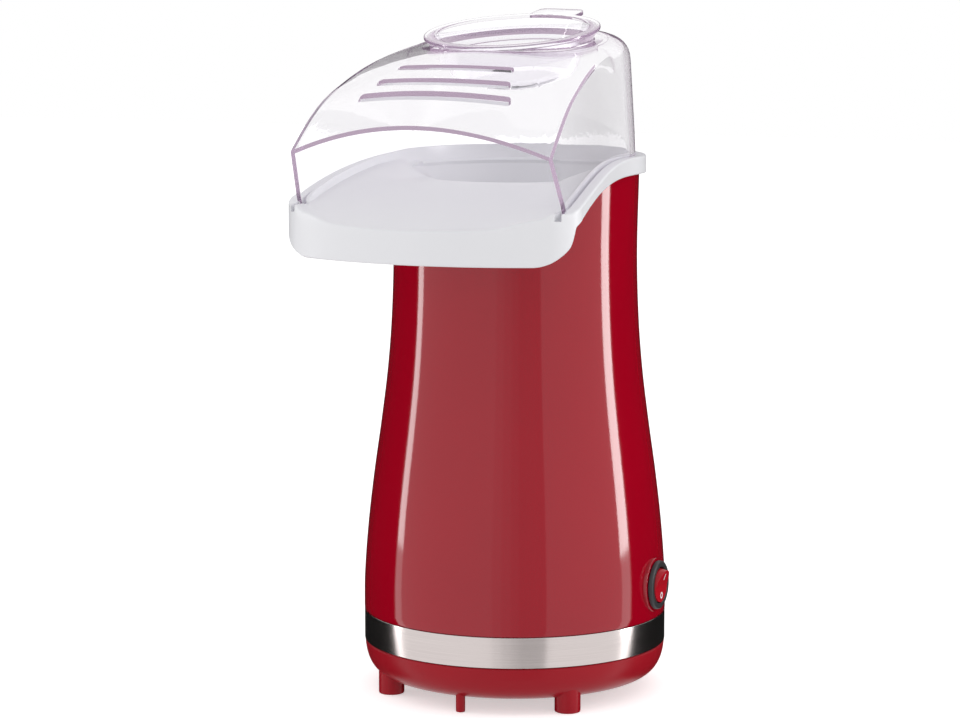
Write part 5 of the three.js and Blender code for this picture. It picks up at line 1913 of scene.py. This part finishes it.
    def build(self) -> bpy.types.Object:
        """The finished hood.

        Returns:
            The piece.
        """
        item = new_object(self.shell())
        carve(item, Carve.CUT, *[self.vent_cutter(y, length) for y, length in self.vents])
        return finish_piece(item, CLEAR_SAN, "clear", Body.HOOD, "clear_hood", angle=30)


# ---------------------------------------------------------------- switch and cord bushing


@dataclass(frozen=True)
class RockerSwitch:
    """Round rocker switch: grained housing with a bezel, glossy rocker tipped to off."""

    face: float = 70.85
    bezel_radius: float = 11.2
    bezel_thickness: float = 2.0
    barrel_radius: float = 9.9
    barrel_length: float = 15.0
    well_radius: float = 8.3
    well_depth: float = 11.0
    rocker_radius: float = 7.6
    rocker_foot: float = -2.4
    pivot_depth: float = 1.5
    tilt: float = 10.0
    crown_rise: float = 1.8
    crown_blend: float = 0.6
    mark_size: float = 1.5
    mark_line: float = 0.36
    mark_reach: float = 4.4
    mark_depth: float = 0.25
    mark_rise: float = 0.05

    def housing(self) -> bpy.types.Object:
        """Bezel and barrel with the rocker's well.

        Returns:
            The piece.
        """
        face, front = self.face, self.face + self.bezel_thickness
        back, well = face - self.barrel_length, front - self.well_depth
        profile = rounded(
            [
                (0, back), (self.barrel_radius, back), (self.barrel_radius, face),
                (self.bezel_radius, face), (self.bezel_radius, front),
                (self.well_radius, front), (self.well_radius, well), (0, well),
            ],
            [0, 0.6, 0, 0.2, 1.3, 0.5, 0.4, 0], 6,
        )
        item = new_object(turned("switch_housing_moulding", profile, 96, outwards(SIZES.switch_height, 0)))
        return finish_piece(item, BLACK_GRAIN, "black", Body.MACHINE, "switch_housing")

    def lay(self) -> Matrix:
        """Frame of the rocker's face, tipped to off."""
        pivot = (self.face + self.bezel_thickness - self.pivot_depth, 0, SIZES.switch_height)
        return Matrix.Translation(pivot) @ Matrix.Rotation(math.radians(self.tilt), 4, "Y") @ outwards(0, 0)

    def crown(self, x: float) -> float:
        """Height of the V-shaped face over its frame."""
        return self.crown_rise + math.sqrt(x * x + self.crown_blend) * math.tan(math.radians(self.tilt))

    def mark(self, centre: float, *outlines: Sequence[Flat]) -> Grid:
        """Solid that stands a little out of the face.

        Args:
            centre: its place along the face.
            outlines: its outer outline, and its hole's with as many points if it has one.

        Returns:
            (points, faces).
        """
        count = len(outlines[0])
        sunk, proud = -self.mark_depth, self.mark_rise
        rings = [(outlines[0], sunk), (outlines[0], proud)]
        rings += [(hole, rise) for hole in outlines[1:] for rise in (proud, sunk)]
        points = [
            tuple(self.lay() @ Vector((x + centre, y, self.crown(x + centre) + rise)))
            for ring, rise in rings for x, y in ring
        ]
        faces = [face for i in range(len(rings) - 1) for face in band(i * count, (i + 1) * count, count)]
        if len(outlines) > 1:
            return points, faces + band((len(rings) - 1) * count, 0, count)
        return points, faces + [list(range(count))[::-1], list(range(count, 2 * count))]

    def marks(self) -> bpy.types.Object:
        """A bar for on and a ring for off, each moulded into its half of the face.

        Returns:
            The piece.
        """
        size, line = self.mark_size, self.mark_line
        bar = [(-size, -line), (size, -line), (size, line), (-size, line)]
        turns = spread(0, 2 * math.pi, 32)[:-1]
        circles = [[polar(radius, turn) for turn in turns] for radius in (size, size - 2 * line)]
        points, faces = self.mark(-self.mark_reach, bar)
        more, sides = self.mark(self.mark_reach, *circles)
        faces += [[i + len(points) for i in face] for face in sides]
        item = new_object(raw_mesh("switch_marks", points + more, faces))
        return finish_piece(item, WHITE_SATIN, "white", Body.ROCKER, angle=28)

    def rocker(self) -> bpy.types.Object:
        """Round button whose face is a shallow V.

        Returns:
            The piece.
        """
        lay, facets = self.lay(), 72
        face = ((0.0, 0.0), (0.25, 0.0), (0.5, 0.0), (0.75, 0.0), (0.93, 0.0), (0.985, 0.12), (1.0, 0.4))
        columns = []
        for i in range(facets):
            column = []
            for share, inset in face:
                x, y = polar(self.rocker_radius * share, 2 * math.pi * i / facets)
                column.append((x, y, self.crown(x) - inset))
            column += [(x, y, self.rocker_foot), (0, 0, self.rocker_foot)]
            columns.append([tuple(lay @ Vector(p)) for p in column])
        item = new_object(raw_mesh("switch_rocker_button", *loop_grid(columns)))
        return finish_piece(item, ROCKER_RED, "rocker_red", Body.ROCKER, "switch_rocker", angle=28)

    def build(self) -> None:
        """Housing, rocker and marks."""
        self.housing()
        self.rocker()
        self.marks()


@dataclass(frozen=True)
class CordBushing:
    """Soft bushing in the rear wall that the cord passes through."""

    hole: float = 5.0
    flange: float = 7.0
    flange_depth: float = 2.0
    flange_slope: float = 0.2
    nut_edge: float = 0.8
    nut_depth: float = 2.4
    bore: float = 3.3

    def build(self) -> bpy.types.Object:
        """The finished bushing.

        Returns:
            The piece.
        """
        inner, outer = ((corner.y - AXIS.y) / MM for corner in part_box("cord_bushing"))
        face, shoulder, nut = outer - self.flange_depth, inner + self.nut_depth, self.flange - self.nut_edge
        lip = self.flange - self.flange_slope
        profile = rounded(
            [
                (self.bore, inner), (nut, inner), (nut, shoulder), (self.hole, shoulder),
                (self.hole, face), (self.flange, face), (lip, outer), (self.bore, outer),
            ],
            [0.3, 0.3, 0.3, 0, 0, 0.2, 0.9, 0.7], 5,
        )
        item = new_object(turned("cord_bushing_moulding", profile, 72, outwards(SIZES.switch_height, 90)))
        return finish_piece(item, BLACK_GRAIN, "black", Body.MACHINE, "cord_bushing")


# ---------------------------------------------------------------- inner works


@dataclass(frozen=True)
class InnerWorks:
    """CAD nodes that keep their own shape and get a finish from their slot."""

    def build(self) -> None:
        """Dresses every node that no moulding stands for."""
        slots = {row["node"]: row["material_slot"] for row in frame["record"]["subparts"]}
        for name, item in sorted(frame["nodes"].items()):
            if item.hide_render:
                continue
            material = BY_SLOT[slots[name]].build()
            if not item.data.materials:
                item.data.materials.append(material)
            for i in range(len(item.data.materials)):
                item.data.materials[i] = material
            LOG.info("%s: %s", name, material.name)


# ---------------------------------------------------------------- stage, lamps and camera


@dataclass(frozen=True)
class SoftBox:
    """An upright area lamp: azimuth in degrees from the camera's side, sizes in metres."""

    name: str
    azimuth: float
    reach: float
    low: float
    width: float
    tall: float
    radiance: float
    in_mirrors: bool = True


@dataclass(frozen=True)
class Card:
    """An upright card for reflections: azimuths and reaches of its two ends, top and glow.

    Without a top of its own it rises with its distance.
    """

    name: str
    azimuths: Flat
    reaches: Flat
    glow: float
    top: float | None = None


@dataclass(frozen=True)
class Studio:
    """White sweep, world, soft boxes, side cards and the camera."""

    camera_place: Point = (561.26, -1304.68, 342.65)
    camera_pitch: float = 82.374
    camera_turn: float = 23.932
    lens: float = 116.105
    sensor: float = 36.0
    farthest: float = 50.0
    level: float = 0.83
    floor_half: float = 4000.0
    floor_glow: float = 0.5
    boxes: tuple[SoftBox, ...] = (
        SoftBox("box_right", 92.2, 2.5, -0.12, 0.44, 1.6, 9.5),
        SoftBox("box_left", -98.0, 2.5, -0.12, 0.3, 1.6, 6.0),
        SoftBox("fill_front", 0.0, 3.0, 0.0, 2.0, 1.2, 0.9, in_mirrors=False),
    )
    cards: tuple[Card, ...] = (
        Card("flag_right", (98.5, 180.0), (2.4, 6.0), 0.01),
        Card("flag_left", (-102.5, -180.0), (2.4, 6.0), 0.01),
        Card("flag_front_deep", (23.5, 3.0), (2.8, 2.8), 0.58),
        Card("flag_front_mid", (3.0, -3.0), (2.8, 2.8), 0.66),
        Card("flag_front_soft", (-3.0, -10.0), (2.8, 2.8), 0.76),
        Card("flag_front_edge", (-10.0, -17.0), (2.8, 2.8), 0.87),
        Card("spill_right", (88.0, 97.2), (2.45, 2.45), 2.0, top=-0.12),
        Card("spill_left", (-94.6, -101.4), (2.45, 2.45), 2.0, top=-0.12),
    )
    card_foot: float = -2.0
    card_top: float = 0.3
    card_slope: float = 0.23

    def floor(self) -> None:
        """Pale floor that keeps the machine's shadow."""
        half = self.floor_half
        corners = [(-half, -half, 0), (half, -half, 0), (half, half, 0), (-half, half, 0)]
        item = new_object(raw_mesh("floor", corners, [[0, 1, 2, 3]]))
        material = bpy.data.materials.new("paper_sweep_white")
        tree = cleared_tree(material)
        paper = add_node(tree, "ShaderNodeBsdfDiffuse", {"Color": linear("#F4F4F4")})
        seen = of_ray(tree, "Is Camera Ray", "Is Transmission Ray")
        strength = add_node(tree, "ShaderNodeMath", {0: seen, 1: self.floor_glow}, operation="MULTIPLY")
        glow = add_node(tree, "ShaderNodeEmission", {"Strength": strength})
        both = add_node(tree, "ShaderNodeAddShader", {0: paper, 1: glow})
        add_node(tree, "ShaderNodeOutputMaterial", {"Surface": both})
        item.data.materials.append(material)
        item.visible_glossy = False

    def world(self) -> None:
        """White to look at and in reflections, plain level as light."""
        world = bpy.data.worlds.new("studio")
        bpy.context.scene.world = world
        tree = cleared_tree(world)
        seen = of_ray(tree, "Is Camera Ray", "Is Glossy Ray", "Is Transmission Ray")
        levels = {"Value": seen, "To Min": self.level, "To Max": 1.0}
        strength = add_node(tree, "ShaderNodeMapRange", levels)
        back = add_node(tree, "ShaderNodeBackground", {"Color": linear("#FFFFFF"), "Strength": strength})
        add_node(tree, "ShaderNodeOutputWorld", {"Surface": back})

    def around(self, azimuth: float, reach: float, height: float) -> Vector:
        """Place in metres about the axis.

        Args:
            azimuth: degrees from the camera's side.
            reach: distance from the axis.
            height: height over the floor.

        Returns:
            The place.
        """
        base = math.atan2(self.camera_place[1], self.camera_place[0])
        return AXIS + Vector((*polar(reach, base + math.radians(azimuth)), height))

    def light(self, box: SoftBox) -> None:
        """Tall box that faces the machine; those at the sides draw the two bright streaks.

        Args:
            box: the lamp.
        """
        data = bpy.data.lights.new(box.name, "AREA")
        data.shape = "RECTANGLE"
        data.size = box.width
        data.size_y = box.tall
        data.energy = box.radiance * math.pi * box.width * box.tall
        item = new_object(data)
        middle = box.low + box.tall / 2
        item.location = self.around(box.azimuth, box.reach, middle)
        goal = AXIS + Vector((0, 0, middle))
        item.rotation_euler = (goal - item.location).to_track_quat("-Z", "Y").to_euler()
        item.visible_camera = False
        item.visible_transmission = False
        item.visible_glossy = box.in_mirrors

    def hang(self, card: Card) -> None:
        """Card that only mirrors see, and only from outside clear plastic.

        Args:
            card: the card.
        """
        corners = []
        for azimuth, reach in zip(card.azimuths, card.reaches):
            top = self.card_top + self.card_slope * reach if card.top is None else card.top
            corners += [self.around(azimuth, reach, height) for height in (self.card_foot, top)]
        mesh = bpy.data.meshes.new(card.name)
        mesh.from_pydata(corners, [], [[0, 2, 3, 1]])
        item = new_object(mesh)
        material = bpy.data.materials.new(card.name)
        tree = cleared_tree(material)
        cloth = add_node(tree, "ShaderNodeEmission", {"Strength": card.glow})
        crossed = of_ray(tree, "Transmission Depth", "Transparent Depth")
        away = add_node(tree, "ShaderNodeMath", {0: crossed, 1: 0.5}, operation="GREATER_THAN")
        gone = add_node(tree, "ShaderNodeBsdfTransparent")
        seen = add_node(tree, "ShaderNodeMixShader", {0: away, 1: cloth, 2: gone})
        add_node(tree, "ShaderNodeOutputMaterial", {"Surface": seen})
        item.data.materials.append(material)
        for kind in ("camera", "transmission", "diffuse", "shadow"):
            setattr(item, f"visible_{kind}", False)

    def camera(self) -> None:
        """Camera at the front right, a little over the machine's top."""
        data = bpy.data.cameras.new("camera")
        data.lens = self.lens
        data.sensor_width = self.sensor
        data.clip_end = self.farthest
        item = new_object(data)
        item.location = placed(self.camera_place)
        item.rotation_euler = Euler((math.radians(self.camera_pitch), 0, math.radians(self.camera_turn)))
        bpy.context.scene.camera = item

    def build(self) -> None:
        """Everything round the object."""
        self.camera()
        self.floor()
        self.world()
        for card in self.cards:
            self.hang(card)
        for box in self.boxes:
            self.light(box)
        bpy.context.scene.view_settings.view_transform = "Standard"


# ---------------------------------------------------------------- assembly


def main() -> None:
    """Builds the machine from the floor up, then the studio."""
    logging.basicConfig(level=logging.INFO, format="%(message)s")
    parts = (
        BasePan(), SteelBand(), BodyShell(), CHUTE, ClearHood(), MeasuringCup(),
        RockerSwitch(), CordBushing(), InnerWorks(), Studio(),
    )
    for part in parts:
        LOG.info("building %s", type(part).__name__)
        part.build()


if __name__ == "__main__":
    main()
